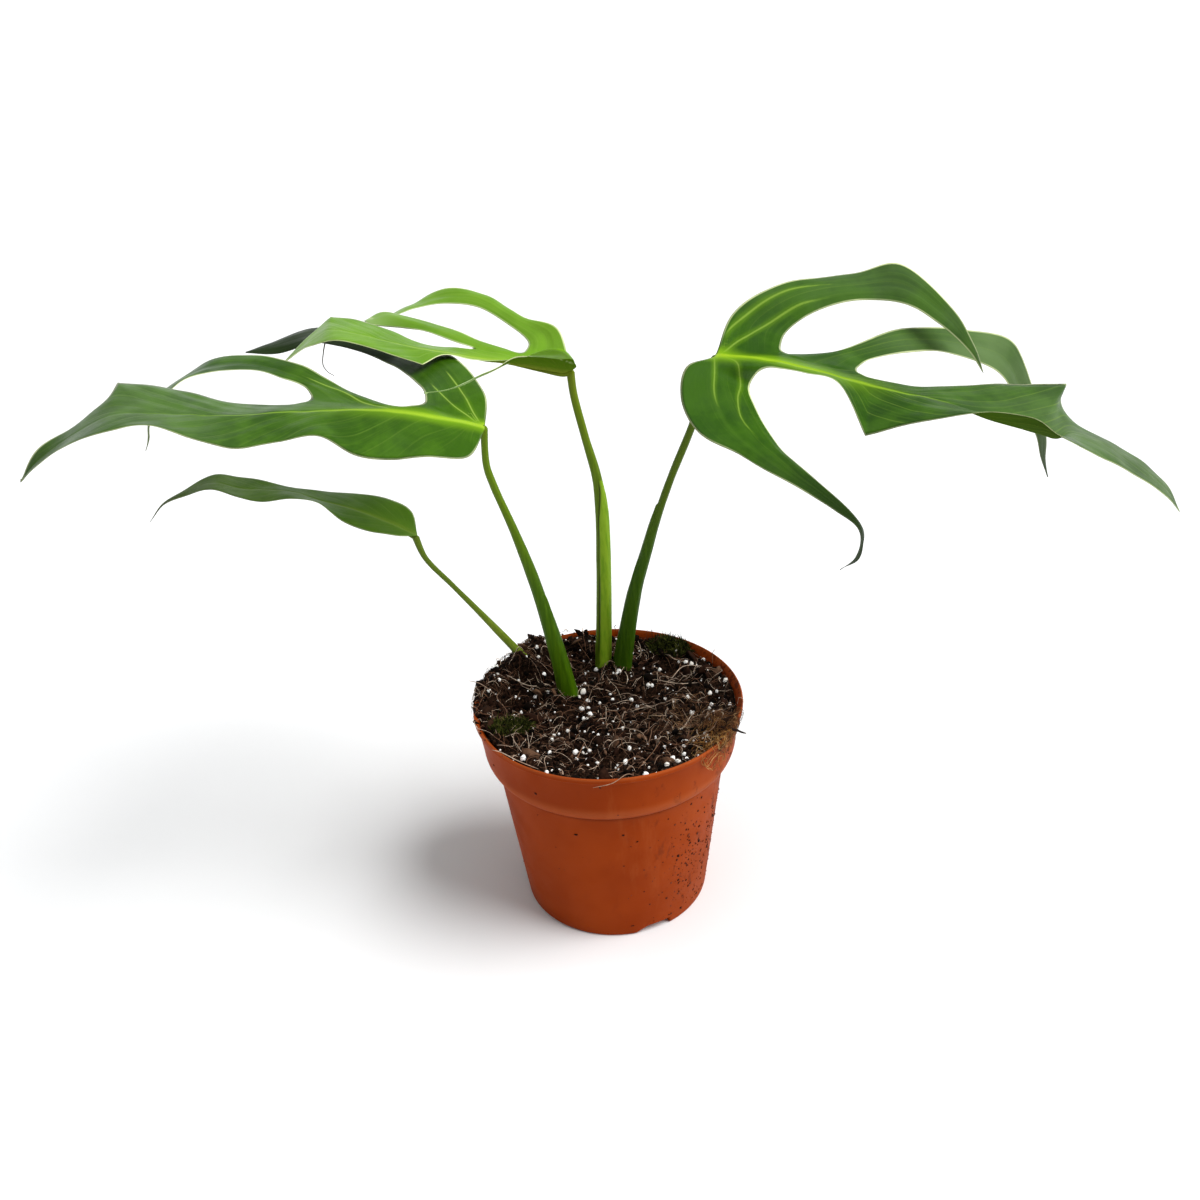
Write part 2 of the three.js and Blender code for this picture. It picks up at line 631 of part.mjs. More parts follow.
function potSolid() {
  const roundTop = 0.6;
  const floorCorner = 2;
  const corner = [];
  for (let i = 0; i <= 3; i += 1) {
    const turn = (Math.PI / 2) * (i / 3);
    const radius = BASE_RADIUS - BASE_CORNER + BASE_CORNER * Math.sin(turn);
    corner.push([radius, BASE_CORNER * (1 - Math.cos(turn))]);
  }
  const profile = [
    [0, 0],
    ...corner,
    ...shoulder(0, 0),
    [RIM_RADIUS - LIP, POT_HEIGHT - RIM_DEPTH],
    [RIM_RADIUS, POT_HEIGHT - RIM_DEPTH + roundTop],
    [RIM_RADIUS, POT_HEIGHT - roundTop],
    [RIM_RADIUS - roundTop, POT_HEIGHT],
    [RIM_RADIUS - roundTop - WALL, POT_HEIGHT],
    [RIM_RADIUS - LIP - WALL, POT_HEIGHT - RIM_DEPTH],
    ...shoulder(WALL, 1).reverse(),
    [BASE_RADIUS - WALL, WALL + floorCorner],
    [BASE_RADIUS - WALL - floorCorner, WALL],
    [0, WALL],
  ];
  let pot = turned(profile, POT_SIDES);
  const body = [[0, 0], ...corner, [BODY_TOP, STEP_LEVEL], [0, STEP_LEVEL]];
  const outside = turned(body, POT_SIDES);
  for (const floor of notchFloors()) pot = pot.add(floor.intersect(outside));
  const cutLength = 20;
  for (let i = 0; i < NOTCH_COUNT; i += 1) {
    const bearing = NOTCH_BEARING + (2 * Math.PI * i) / NOTCH_COUNT;
    const size = [cutLength, NOTCH_WIDTH, 2 * NOTCH_HEIGHT];
    pot = pot.subtract(block(size, [NOTCH_INNER_RADIUS + cutLength / 2, 0, 0], bearing));
  }
  for (let i = 0; i < DRAIN_HOLES; i += 1) {
    const turn = NOTCH_BEARING + (2 * Math.PI * (i + 0.5)) / DRAIN_HOLES;
    const hole = new THREE.CylinderGeometry(DRAIN_HOLE_RADIUS, DRAIN_HOLE_RADIUS, 4 * WALL, 12);
    hole.rotateX(Math.PI / 2);
    hole.translate(DRAIN_CIRCLE_RADIUS * Math.cos(turn), DRAIN_CIRCLE_RADIUS * Math.sin(turn), 0);
    pot = pot.subtract(solidFromGeometry(hole));
  }
  return pot;
}

// Height of the soil's uneven surface.
function soilHeight(x, y) {
  const ripple = Math.sin(0.21 * x + 0.6) * Math.cos(0.17 * y - 0.4);
  let height = SOIL_LEVEL + 0.9 * ripple;
  for (const [heapX, heapY, rise, spread] of SOIL_HEAPS) {
    const distance = Math.hypot(x - heapX, y - heapY) / spread;
    height += rise * Math.exp(-distance * distance);
  }
  return height;
}

// The potting mix, filling the pot; `growth` moves its surface out.
function soilSolid(growth = 0) {
  const positions = [];
  const indices = [];
  const topRadius = SOIL_TOP_RADIUS + growth;
  const inset = WALL + GAP + 0.25;
  const floorCorner = 3;
  const wall = [
    [BODY_TOP + COLLAR_STEP - inset, STEP_LEVEL + SHOULDER_HEIGHT + GAP],
    [BODY_TOP - inset, STEP_LEVEL + WALL],
    [BASE_RADIUS - inset, WALL + floorCorner],
    [BASE_RADIUS - inset - floorCorner, WALL + GAP],
  ];
  positions.push(0, 0, soilHeight(0, 0) + growth);
  const ring = (radius, height) => {
    for (let j = 0; j < SOIL_SIDES; j += 1) {
      const turn = (2 * Math.PI * j) / SOIL_SIDES;
      const x = radius * Math.cos(turn);
      const y = radius * Math.sin(turn);
      positions.push(x, y, height(x, y));
    }
  };
  for (let i = 1; i <= SOIL_RINGS; i += 1) {
    ring((topRadius * i) / SOIL_RINGS, (x, y) => soilHeight(x, y) + growth);
  }
  for (const [radius, height] of wall) ring(radius + growth, () => height);
  const rings = SOIL_RINGS + wall.length;
  const at = (i, j) => 1 + (i - 1) * SOIL_SIDES + (j % SOIL_SIDES);
  for (let j = 0; j < SOIL_SIDES; j += 1) {
    indices.push(0, at(1, j), at(1, j + 1));
    for (let i = 1; i < rings; i += 1) {
      indices.push(at(i, j), at(i + 1, j), at(i + 1, j + 1));
      indices.push(at(i, j), at(i + 1, j + 1), at(i, j + 1));
    }
  }
  for (let j = 1; j < SOIL_SIDES - 1; j += 1) {
    indices.push(at(rings, 0), at(rings, j + 1), at(rings, j));
  }
  return solidFrom(positions, indices);
}

// Lumpy flattened ball, for a moss cushion or a tuft of fibre.
function lump(middle, radii, lumpiness, bearing = 0) {
  const geometry = new THREE.SphereGeometry(1, 14, 9);
  const position = geometry.attributes.position;
  for (let i = 0; i < position.count; i += 1) {
    const point = new THREE.Vector3().fromBufferAttribute(position, i);
    const wave = Math.sin(5 * point.x + 1) * Math.cos(4 * point.y) + Math.sin(6 * point.z);
    point.multiplyScalar(1 + lumpiness * wave);
    position.setXYZ(i, point.x * radii[0], point.y * radii[1], point.z * radii[2]);
  }
  geometry.rotateZ(bearing);
  geometry.translate(...middle);
  return solidFromGeometry(geometry);
}

function plant() {
  const group = new THREE.Group();
  const pot = potSolid();
  const rhizomeRoute = RHIZOME_ROUTE.map((point) => [...point, RHIZOME_RADIUS]);
  const vertical = new THREE.Vector3(0, 0, 1);
  const rhizome = stem(rhizomeRoute, 0, vertical);
  const grownRhizome = stem(rhizomeRoute, GAP, vertical);
  const leaves = [
    ['left', LEFT_BLADE, LEFT_PETIOLE, LEAF_GREEN],
    ['middle', MIDDLE_BLADE, MIDDLE_PETIOLE, LIME_GREEN],
    ['right', RIGHT_BLADE, RIGHT_PETIOLE, LEAF_GREEN],
    ['small', SMALL_BLADE, SMALL_PETIOLE, LEAF_GREEN],
  ];

  let soil = soilSolid().subtract(grownRhizome);
  for (const [, , petiole] of leaves) soil = soil.subtract(stem(petiole, GAP));
  for (const floor of notchFloors(GAP)) soil = soil.subtract(floor);
  group.add(meshFrom('pot', pot, TERRACOTTA, 0.45));
  group.add(meshFrom('potting_mix', soil, SOIL_BROWN, 0.95));
  group.add(meshFrom('rhizome', rhizome, STEM_BROWN, 0.8));

  for (const [name, blade, petiole, color] of leaves) {
    const sheet = bladeSheet(blade);
    const room = thickened(sheet, BLADE_THICKNESS + 2 * GAP);
    const stalk = stem(petiole).subtract(grownRhizome).subtract(room);
    group.add(meshFrom(`petiole_${name}`, stalk, PETIOLE_GREEN, 0.5));
    group.add(meshFrom(`blade_${name}`, thickened(sheet, BLADE_THICKNESS), color, 0.35));
  }

  // Room that the moss and the tuft leave free for the mix and for the pot's wall.
  const soilRoom = soilSolid(GAP);
  const innerRadius = RIM_RADIUS - LIP - WALL - GAP;
  const roomDepth = 12;
  const potRoom = turned([
    [0, 0],
    [BODY_TOP + COLLAR_STEP + GAP, STEP_LEVEL + SHOULDER_HEIGHT],
    [RIM_RADIUS + GAP, POT_HEIGHT - RIM_DEPTH],
    [RIM_RADIUS + GAP, POT_HEIGHT + GAP],
    [innerRadius, POT_HEIGHT + GAP],
    [innerRadius - GAP, POT_HEIGHT - RIM_DEPTH],
    [0, POT_HEIGHT - roomDepth],
  ], POT_SIDES);
  const dressings = [
    ['moss_front', lump([-43, -15, 98.5], [9, 6, 3], 0.08, 0.5), MOSS_GREEN],
    ['moss_back', lump([31, 44, 98], [10, 5.5, 3], 0.08, -0.5), MOSS_GREEN],
    ['coir_tuft', lump([50, -27, 99.5], [10, 12, 5], 0.1, -0.5), COIR_TAN],
  ];
  for (const [name, solid, color] of dressings) {
    group.add(meshFrom(name, solid.subtract(soilRoom).subtract(potRoom), color, 0.9));
  }
  return group;
}

export default plant();
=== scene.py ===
"""A potted split-leaf house plant, finished around its construction model.

Metres, +Z up. The origin is the middle of the pot's flat underside. The photograph is taken
from -Y. Points of blades and stalks are written in millimetres and read through `metres`.
"""

import math

import bpy
import numpy as np
from mathutils import Matrix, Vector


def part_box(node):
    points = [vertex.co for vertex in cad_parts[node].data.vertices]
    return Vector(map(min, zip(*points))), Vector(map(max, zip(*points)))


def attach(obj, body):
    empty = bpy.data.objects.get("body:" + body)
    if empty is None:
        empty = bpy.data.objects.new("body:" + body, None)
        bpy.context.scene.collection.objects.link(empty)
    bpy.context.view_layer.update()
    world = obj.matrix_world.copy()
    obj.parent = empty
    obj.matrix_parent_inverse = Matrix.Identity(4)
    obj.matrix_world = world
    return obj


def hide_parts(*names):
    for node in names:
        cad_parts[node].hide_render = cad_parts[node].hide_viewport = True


bl_info = {
    "name": "Potted split-leaf plant",
    "version": (1, 0, 0),
    "blender": (4, 5, 0),
    "location": "3D View > Sidebar > Plant",
    "description": "Makes a potted split-leaf plant, piece by piece, around its construction model",
    "category": "Object",
}

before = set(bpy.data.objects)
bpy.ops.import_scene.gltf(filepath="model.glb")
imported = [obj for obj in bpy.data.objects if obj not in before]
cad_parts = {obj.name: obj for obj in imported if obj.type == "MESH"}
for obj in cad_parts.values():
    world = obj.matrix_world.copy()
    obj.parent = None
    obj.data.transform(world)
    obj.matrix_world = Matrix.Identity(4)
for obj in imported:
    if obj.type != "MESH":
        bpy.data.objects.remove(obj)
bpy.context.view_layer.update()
POT_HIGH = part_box("pot")[1]
MM = 0.001

# Sizes that the construction model fixes.
POT_HEIGHT = POT_HIGH.z
RIM_RADIUS = POT_HIGH.x
RIM_DEPTH = 0.003
LIP = 0.0012
BASE_RADIUS = 0.0424
BODY_TAPER = 0.124
COLLAR_FOOT = POT_HEIGHT - 0.026
COLLAR_STEP = 0.005
SHOULDER_HEIGHT = 0.008
SOIL_LEVEL = 0.0955
NOTCH_BEARING = math.radians(-69)
NOTCH_COUNT = 3
NOTCH_WIDTH = 0.0173
NOTCH_HEIGHT = 0.0038
NOTCH_SLOPE = 0.008
NOTCH_INNER_RADIUS = 0.033
DRAIN_HOLES = 6
DRAIN_HOLE_RADIUS = 0.0035
DRAIN_CIRCLE_RADIUS = 0.022
RIB_ROUNDNESS = 0.5

# Grids: columns round the pot and the mix, and rows of the mix's top.
POT_COLUMNS = 288
MIX_COLUMNS = 400
MIX_ROWS = 100

# How far from the axis the mix reaches, the bits on it, those that lie on the lip and moss.
MIX_RADIUS = 0.0568
LOOSE_RADIUS = 0.0566
SPILT_RADIUS = 0.0606
MOSS_RADIUS = 0.0575

# Where the mix spills over the rim: its middle bearing and its spread in radians, its inner
# and outer radius, and the radii between which the ground climbs from the mix to the lip.
SPILL_BEARING = 2.62
SPILL_SPREAD = 0.42
SPILL_INNER_RADIUS = 0.0545
SPILL_OUTER_RADIUS = 0.0602
LIP_FOOT_RADIUS = 0.0560
LIP_TOP_RADIUS = 0.0576

# How far the mix stays inside the pot's outer wall, which leaves room for the plastic.
MIX_GAP = 0.0022

# The photograph's camera, fitted to the pot's rim, collar and base: place and turns.
CAMERA_PLACE = (0.0, -0.4826, 0.4252)
CAMERA_PAN = -0.002
CAMERA_TILT = 0.515
CAMERA_ROLL = -0.056

# Which way the main light shines.
KEY_DIRECTION = (-0.80, 0.2, -1.05)

# Each rib of a blade is three points: near margin, midrib, far margin.
# A lobe's ribs are: inner margin (toward the tip side), vein, outer margin.
# A lobe grows from one side of the main blade, between ribs `from` and `to`.
# `sharp` lists the ribs where a margin turns a corner, such as at a tooth.
# `dark` says how soon an end takes on its tip's colour, and `pale` how much painted sheen
# its outer part has: a pale coat that stands for glossy reflections.
LEFT_BLADE = {
    "pale": 0.3,
    "ribs": [
        [[-43, 3, 231.5], [-43, 4, 232], [-43, 5, 232]],
        [[-48.8, -14, 227.2], [-55, 1, 237], [-56, 6, 237]],
        [[-64, -24, 232], [-68, -2, 241], [-66, 5, 242]],
        [[-76, -27, 233.2], [-78, -4, 244], [-77, -1, 244]],
        [[-89, -30, 236.6], [-90, -6, 246], [-91, 3, 245]],
        [[-103, -27, 244], [-105, -8, 247], [-109, 4, 247]],
        [[-117, -30, 243.8], [-120, -10, 248], [-120, 2, 247]],
        [[-133, -35, 244.5], [-138, -13, 249], [-142, 5, 248]],
        [[-148, -34, 249], [-154, -15, 251], [-169, 8, 255]],
        [[-163, -30, 253], [-167, -17, 253], [-184.4, 6, 258]],
        [[-176, -32, 253], [-180, -19, 254], [-186, -6, 255]],
        [[-193, -30, 248], [-195, -21, 248], [-199, -14, 248]],
        [[-208, -27, 240], [-209, -22, 240], [-211.8, -19, 242]],
        [[-220, -22, 230], [-220, -22, 230.5], [-219.5, -22, 231]],
    ],
    "sharp": {"near": [], "far": [9]},
    "lobes": [
        {
            # Painted shade: the middle blade hangs over this lobe, so its dark end colour starts
            # early.
            "side": "far", "from": 0, "to": 2, "dark": 1.3,
            "ribs": [
                [[-67, 16, 243], [-56, 19, 241], [-43, 22, 238]],
                [[-72, 30, 242.9], [-63, 36, 245], [-54, 44, 246]],
                [[-84, 52, 243], [-79, 60, 244.5], [-74, 69, 244.5]],
                [[-101, 68, 245.5], [-100, 76, 246.5], [-99, 86, 246.5]],
                [[-120, 75, 247.5], [-122, 83, 249], [-124, 91, 249.5]],
                [[-137, 78, 242.5], [-141, 84, 244.5], [-146, 88, 243.1]],
                [[-152.5, 80, 243], [-153, 81, 243], [-153.5, 81.5, 243]],
            ],
        },
        {
            "side": "far", "from": 3, "to": 5,
            "ribs": [
                [[-115, 16, 249], [-106, 14, 248], [-96, 14, 246]],
                [[-125, 22, 251], [-120, 24, 251], [-117, 30, 253]],
                [[-138, 28, 253], [-138, 34, 253], [-140, 43, 254]],
                [[-154, 30, 252], [-155, 37, 252], [-159, 46, 252]],
                [[-167, 28, 249], [-170, 32, 248], [-173.3, 37.5, 245.3]],
                [[-174, 24, 244], [-175, 26, 244], [-178, 29, 244]],
                [[-179.5, 16, 235.5], [-180.5, 17, 235], [-181, 18, 235]],
                [[-180, 13, 231.5], [-180.5, 13.5, 231.5], [-181, 14, 231.5]],
                [[-181.5, 11, 227], [-182, 11, 227], [-182, 11.5, 227]],
            ],
        },
    ],
}

MIDDLE_BLADE = {
    "ribs": [
        [[-4.4, 47, 241], [-8, 50, 237], [-8.5, 53, 237.5]],
        [[-13, 38, 251], [-20, 48, 240], [-19, 56, 240]],
        [[-30, 42, 246], [-32, 47, 243], [-29, 54.5, 243.5]],
        [[-48, 45, 246], [-48, 47, 246], [-47, 54, 247]],
        [[-61, 45, 249], [-61, 48, 249], [-64, 60, 248]],
        [[-69, 36, 248], [-73, 50, 251], [-75, 63, 250]],
        [[-81, 38, 252], [-85, 52, 254], [-85, 67, 254]],
        [[-95, 42, 256], [-97, 54, 257], [-99, 71, 258]],
        [[-107, 44, 258], [-109, 55, 259], [-111, 72, 260]],
        [[-117, 50, 254], [-117, 56, 255], [-117, 67, 256]],
        [[-123, 55, 250], [-124, 57, 250], [-124, 62, 251]],
        [[-130.2, 58, 245.5], [-130.2, 58, 246], [-130.7, 59, 246]],
    ],
    "sharp": {"near": [5], "far": [8]},
    "lobes": [
        {
            "side": "far", "from": 0, "to": 2,
            "ribs": [
                [[-26, 66, 245], [-18.5, 68, 247], [-12.3, 68, 249.5]],
                [[-35, 80, 249.2], [-31.3, 82, 251], [-27.5, 84, 251]],
                [[-49, 92, 254.4], [-48, 97, 257], [-45, 101, 257]],
                [[-63, 97, 255], [-63, 103, 257], [-64, 109, 259]],
                [[-77, 96, 254], [-80, 100, 254], [-83, 105, 252]],
                [[-87, 90, 253], [-90, 92, 252], [-92, 95, 250]],
                [[-95.5, 86, 253.5], [-96.5, 87, 254], [-97, 88, 254]],
            ],
        },
        {
            "side": "far", "from": 2, "to": 3,
            "ribs": [
                [[-57, 60, 249], [-52, 60, 249], [-47, 62, 249]],
                [[-69, 68, 252], [-65, 70, 252], [-62, 74, 252]],
                [[-81, 76, 252], [-80, 80, 254], [-80, 86, 254]],
                [[-90, 80, 252], [-91, 85, 254], [-92, 91, 255]],
                [[-97.5, 82, 252.5], [-98.5, 84, 253.5], [-99.5, 86, 253.5]],
            ],
        },
        {
            "side": "near", "from": 0, "to": 2, "dark": 1.2,
            "ribs": [
                [[-32, 38, 246.5], [-30.5, 37, 247.5], [-28.5, 36, 249.5]],
                [[-38, 30, 246.5], [-38, 29, 247.5], [-37.5, 28, 248]],
                [[-44.5, 22, 246], [-44.5, 21, 247], [-44.5, 20, 247.5]],
                [[-51.5, 15, 245.5], [-51.5, 14, 246.5], [-51, 13, 247]],
                [[-58, 9, 246], [-58, 8, 246.5], [-58, 7.5, 247]],
                [[-65.5, 4.5, 247], [-65.5, 4, 247.5], [-65.5, 4, 247.5]],
            ],
        },
    ],
}

RIGHT_BLADE = {
    "pale": 0.45,
    "ribs": [
        [[49.5, 14, 252], [50, 15, 252.5], [51, 17, 252.5]],
        [[57, 8, 251], [62, 13, 252], [64, 20, 251]],
        [[68, 5, 250.2], [75, 10, 250], [76.8, 20, 249.8]],
        [[84, 3, 247.5], [88, 7, 247], [90, 15, 247]],
        [[97, -2, 244], [99, 5, 244], [105.5, 14, 243]],
        [[104.2, -20, 229.2], [110, 3, 241], [112, 10, 241]],
        [[121, -22, 234], [123, 0, 238], [130, 11, 236.6]],
        [[138, -24, 237], [137, -3, 235], [149, 14, 234.5]],
        [[153, -26, 238], [158.5, -10, 228], [171, 17, 232.9]],
        [[168, -28, 235], [173, -13, 224], [194, 18, 231]],
        [[176, -28, 229.3], [180, -15, 222], [191, 13, 225.7]],
        [[185, -28, 223], [187, -12, 222], [193, 3, 221]],
        [[200, -26, 214.7], [203, -14, 216], [210, -4, 212]],
        [[220.5, -23, 200.4], [224, -17, 200], [227.1, -12, 199.1]],
        [[233.3, -19, 188], [232.8, -19, 188.5], [232.8, -18.5, 189]],
    ],
    "sharp": {"near": [5], "far": [9]},
    "lobes": [
        {
            "side": "far", "from": 0, "to": 2, "pale": 0.3,
            "ribs": [
                [[81, 33, 254], [67, 33, 258], [59.2, 34, 263]],
                [[96, 42, 260.1], [87, 45, 266], [81, 49, 270]],
                [[116, 46, 262.2], [115, 52, 267], [114, 60, 269.6]],
                [[132, 44, 260], [132.2, 49, 267], [131.6, 55, 274]],
                [[146, 38, 252], [150, 41, 254], [152, 44, 257]],
                [[156, 33, 243], [158, 34.5, 243.5], [160, 36, 243.5]],
                [[163, 30, 233.5], [163.5, 30, 233], [163.5, 30.5, 233]],
            ],
        },
        {
            "side": "far", "from": 2, "to": 4, "dark": 0.85, "pale": 0.8,
            "ribs": [
                [[115, 27, 243], [105, 27, 246], [99, 27, 247]],
                [[134, 36, 242], [132, 40, 246], [131, 44, 249.5]],
                [[153, 42, 238], [159, 48, 240], [163, 54, 244]],
                [[173.4, 45, 228.3], [178, 51, 232], [183, 57, 237]],
                [[182.5, 43, 216], [187, 47, 216], [192, 52, 219]],
                [[192, 39, 200], [195, 41, 199], [198, 43, 198]],
                [[194.5, 37, 190], [196, 38, 189], [197.5, 39, 188.5]],
                [[198, 36, 181.5], [198.5, 36, 181], [198.5, 36.5, 181]],
            ],
        },
        {
            "side": "near", "from": 0, "to": 2, "dark": 1.15,
            "ribs": [
                [[63, 4, 244], [54, 5, 247], [39.2, 8, 252]],
                [[64, -6, 237], [56, -8, 239], [34.8, -6, 242]],
                [[71, -18, 227], [62, -20, 231], [41, -24, 235]],
                [[77, -23.5, 221.8], [70, -25.5, 224.5], [55, -28.5, 227.5]],
                [[83.6, -28, 216.6], [78, -30, 218], [72, -34, 218.5]],
                [[96.7, -34, 205], [93.4, -35, 206], [90, -37, 207]],
                [[101.7, -36, 197], [100.4, -37, 198], [98.8, -38, 199]],
                [[102, -37, 191], [101.4, -37, 191], [100.4, -38, 192]],
                [[100.4, -37, 184.4], [99.7, -37, 184.8], [98.9, -37.5, 185.4]],
                [[94, -36.5, 180.5], [93.5, -37, 180.5], [93.5, -37.5, 180.5]],
            ],
        },
    ],
}

SMALL_BLADE = {
    "dark": 0.7,
    "ribs": [
        [[-85, 61, 157], [-84.5, 62, 157], [-84.5, 63, 157]],
        [[-93, 54, 161.5], [-92, 62, 162], [-87.2, 72, 164.2]],
        [[-104, 50, 166], [-101, 62, 167], [-98, 77, 170]],
        [[-115, 49, 172], [-114, 62, 173], [-113, 78, 173]],
        [[-126, 52, 181], [-127, 63, 177], [-128, 76, 176]],
        [[-138, 54, 183], [-140, 64, 182], [-142, 73, 180]],
        [[-151, 52, 183], [-153, 65, 183], [-154, 75, 183]],
        [[-162, 54, 185], [-164, 66, 184], [-166, 78, 185]],
        [[-174, 59, 187], [-175, 67, 187], [-177, 76, 187]],
        [[-189, 65, 182], [-189, 68, 183], [-191, 71, 182]],
        [[-200, 67, 177], [-200, 68, 177], [-201, 69, 177]],
        [[-209, 67.5, 168], [-209, 68, 168], [-209, 68.5, 168]],
    ],
    "sharp": {"near": [], "far": []},
    "lobes": [],
}

# Each petiole is a route of [x, y, z, radius], from the rhizome to its blade.
PETIOLE_ROUTES = {
    "left": [
        [-15.5, 11, 86, 4.6], [-18, 11.4, 98, 4.4], [-20.9, 12, 116, 3.6], [-28.3, 12, 153.5, 2.6],
        [-35.3, 11, 180.6, 1.9], [-42.2, 8, 204.7, 1.5], [-44.1, 6.5, 214.4, 1.4],
        [-43.5, 5, 230.8, 1.6],
    ],
    "middle": [
        [-1.5, 34, 86, 3.6], [-1.3, 35, 98, 3.6], [0.1, 38, 120, 3.4], [1.4, 42, 149, 3.2],
        [1.8, 45, 173, 2.8], [0.6, 46.5, 188, 2.2], [-3.7, 48, 207.6, 1.8],
        [-7.5, 49.5, 227, 1.7], [-8.2, 50.2, 236.2, 1.8],
    ],
    "right": [
        [7.3, 32.4, 86, 4.6], [8, 32.4, 97, 4.2], [10.7, 32.5, 114, 3.6], [15.9, 32, 140, 2.8],
        [21.3, 31, 159, 2.3], [25.2, 30, 173, 2], [28.4, 29, 183, 1.6], [32.8, 26, 197, 1.6],
        [40.9, 21, 220, 1.5], [46.7, 17, 240, 1.5], [50.2, 15.2, 251.1, 1.7],
    ],
    "small": [
        [-30, 31, 86, 2.2], [-36.4, 34.5, 100.5, 2.2], [-42.4, 39.5, 106.2, 1.9],
        [-50.8, 43, 115.6, 1.7], [-59.1, 46.5, 124.6, 1.4], [-69.6, 51, 135.6, 1.2],
        [-81.4, 57, 147.6, 1.2], [-85.3, 62, 155.7, 1.6],
    ],
}

# Where a leaf sheath ends on a petiole: height of its end, bearing and half width of its
# flap in degrees, and how far it stands out, all but the angles in metres.
SHEATH_ENDS = {
    "left": [[0.1493, -25, 42, 0.0007]],
    "middle": [[0.1875, -50, 70, 0.0006]],
    "right": [[0.182, 195, 45, 0.0007], [0.1545, 200, 30, 0.0004]],
    "small": [[0.113, -30, 50, 0.0003]],
}

# Main veins that run from the stalk's end or the midrib out into the lobes near it.
LOBE_VEINS = {
    "left": [
        [[-45, 4, 232], [-50, 8, 235], [-56, 12, 239], [-62, 19, 242], [-67, 29, 244]],
        [[-44, 4, 232], [-48, 11, 236], [-52, 20, 240], [-57, 30, 244], [-62, 41, 246]],
        [[-78, -4, 244], [-89, 3, 245], [-98, 11, 246], [-107, 17, 248], [-119, 25, 251]],
    ],
    "right": [
        [[52, 20, 254], [58, 29, 259], [71, 40, 265], [88, 48, 268], [110, 53, 268]],
        [[54, 18, 252], [62, 26, 255], [74, 35, 259], [87, 42, 264], [104, 47, 266]],
        [[50, 15, 252], [49, 6, 249], [48, -3, 243], [50, -14, 237]],
        [[51, 15, 252], [57, 10, 252], [59, 4, 246], [57, -4, 241], [58, -14, 235], [65, -22, 229]],
    ],
}

# Heaps and hollows of the soil: x, y, height, spread, in millimetres.
SOIL_HEAPS = [
    [-34, 44, 6, 7], [-52, 17, 4, 7], [-44, -15, 3, 11], [46, -25, 4, 9],
    [30, 44, 3, 9], [-4, 47, 3, 8], [17, 12, -4, 8], [0, -30, 1, 16],
]

# Loose mix that is heaped over the finished top: x, y, height, spread, in millimetres.
DEBRIS_HEAPS = [
    [-39, 32.5, 8, 5], [-45, 26, 2, 5], [-30, 44, 1.5, 5], [-22, 24, -2, 6],
    [3, 31, 5, 8], [-19, 10, 3.5, 6], [-34, 29, 7, 4],
]

# The larger white grains: x, y and radius in millimetres.
PERLITE_GRAINS = [
    [-51, 29, 1.5], [-33, 12, 1.1], [-29, 28, 1], [6, 27, 1.1], [19, 18, 1.1], [-11, 12, 1.4],
    [-13, 9, 0.9], [-9, 8, 1], [-12, 2, 1.2], [-9, 2, 1], [-8, -7, 1.2], [-11, -8, 0.9],
    [13, 0, 0.9], [25, 30, 1], [36, 4, 0.9], [37, -6, 1.1], [54, 13, 1.1], [46, -2, 1.1],
    [53, 1, 0.9], [54, -5, 0.9], [46, 33, 1], [31, -28, 1], [31, -38, 1.2], [23, -42, 1.2],
    [26, -41, 1.2], [28, -43, 1.2], [23, -47, 1], [14, -53, 1.4], [6, -41, 1.2], [8, -33, 0.9],
    [23, -32, 0.8], [6, -14, 0.9], [-5, -21, 0.8], [-9, -31, 0.9], [-15, -33, 1.3],
    [-10, -38, 0.9], [-26, -33, 0.9], [-37, -38, 1.2], [-27, -47, 0.9], [-25, -21, 0.9],
    [40, 30, 1], [-27, 14, 0.8], [-28, 45, 0.9], [-32, 40, 0.9], [-49, 17, 1], [-39, 2, 0.9],
]

# Single fibres that stand out: [x, y, height above the mix] points in millimetres.
LOOSE_FIBRES = [
    [[-3, -10, 0.5], [-2, -5, 1.5], [3, -5, 2], [5, -11, 1.8], [2, -18, 1.2], [-1, -13, 1]],
    [[11, -49, 1.5], [17, -38, 2.5], [22, -28, 2]],
    [[-16, -43, 1], [-13, -34, 2.5], [-11, -26, 1]],
    [[-14, -50, 1.5], [-12, -42, 1.2], [-8, -48, 2]],
    [[9, -55, 2.5], [6, -58.5, 6.2], [0, -61.5, 4], [-8, -61.5, 1]],
    [[-50, 8, 1], [-57, 9, 5.5], [-62, 10, 6.5]],
    [[-30, -47, 2], [-38, -44, 4], [-46, -40, 6], [-50, -37, 4]],
    [[22, 20, 2], [33, 14, 3], [42, 16, 1]],
    [[30, 22, 1], [36, 27, 3.5], [46, 25, 1.5]],
    [[-46, 22, 1], [-36, 18, 3], [-27, 24, 1]],
]


# Curves and surfaces

def metres(points):
    """The points as an array in metres."""
    return np.array(points, float) * MM


def unit(vectors):
    """The vectors at length 1."""
    return vectors / np.maximum(np.linalg.norm(vectors, axis=-1, keepdims=True), 1e-12)


def smooth_step(value, low, high):
    """0 below low, 1 above high and 3t^2 - 2t^3 between them."""
    share = np.clip((value - low) / (high - low), 0, 1)
    return share * share * (3 - 2 * share)


def bell(distance, spread):
    """exp(-(distance / spread)^2): 1 at no distance, near 0 from two spreads on."""
    return np.exp(-((distance / spread) ** 2))


def knots_through(points):
    """Knots that grow by the square root of each chord, so that a curve never loops."""
    steps = np.sqrt(np.linalg.norm(np.diff(points, axis=0), axis=-1))
    return np.concatenate([[0], np.cumsum(steps)])


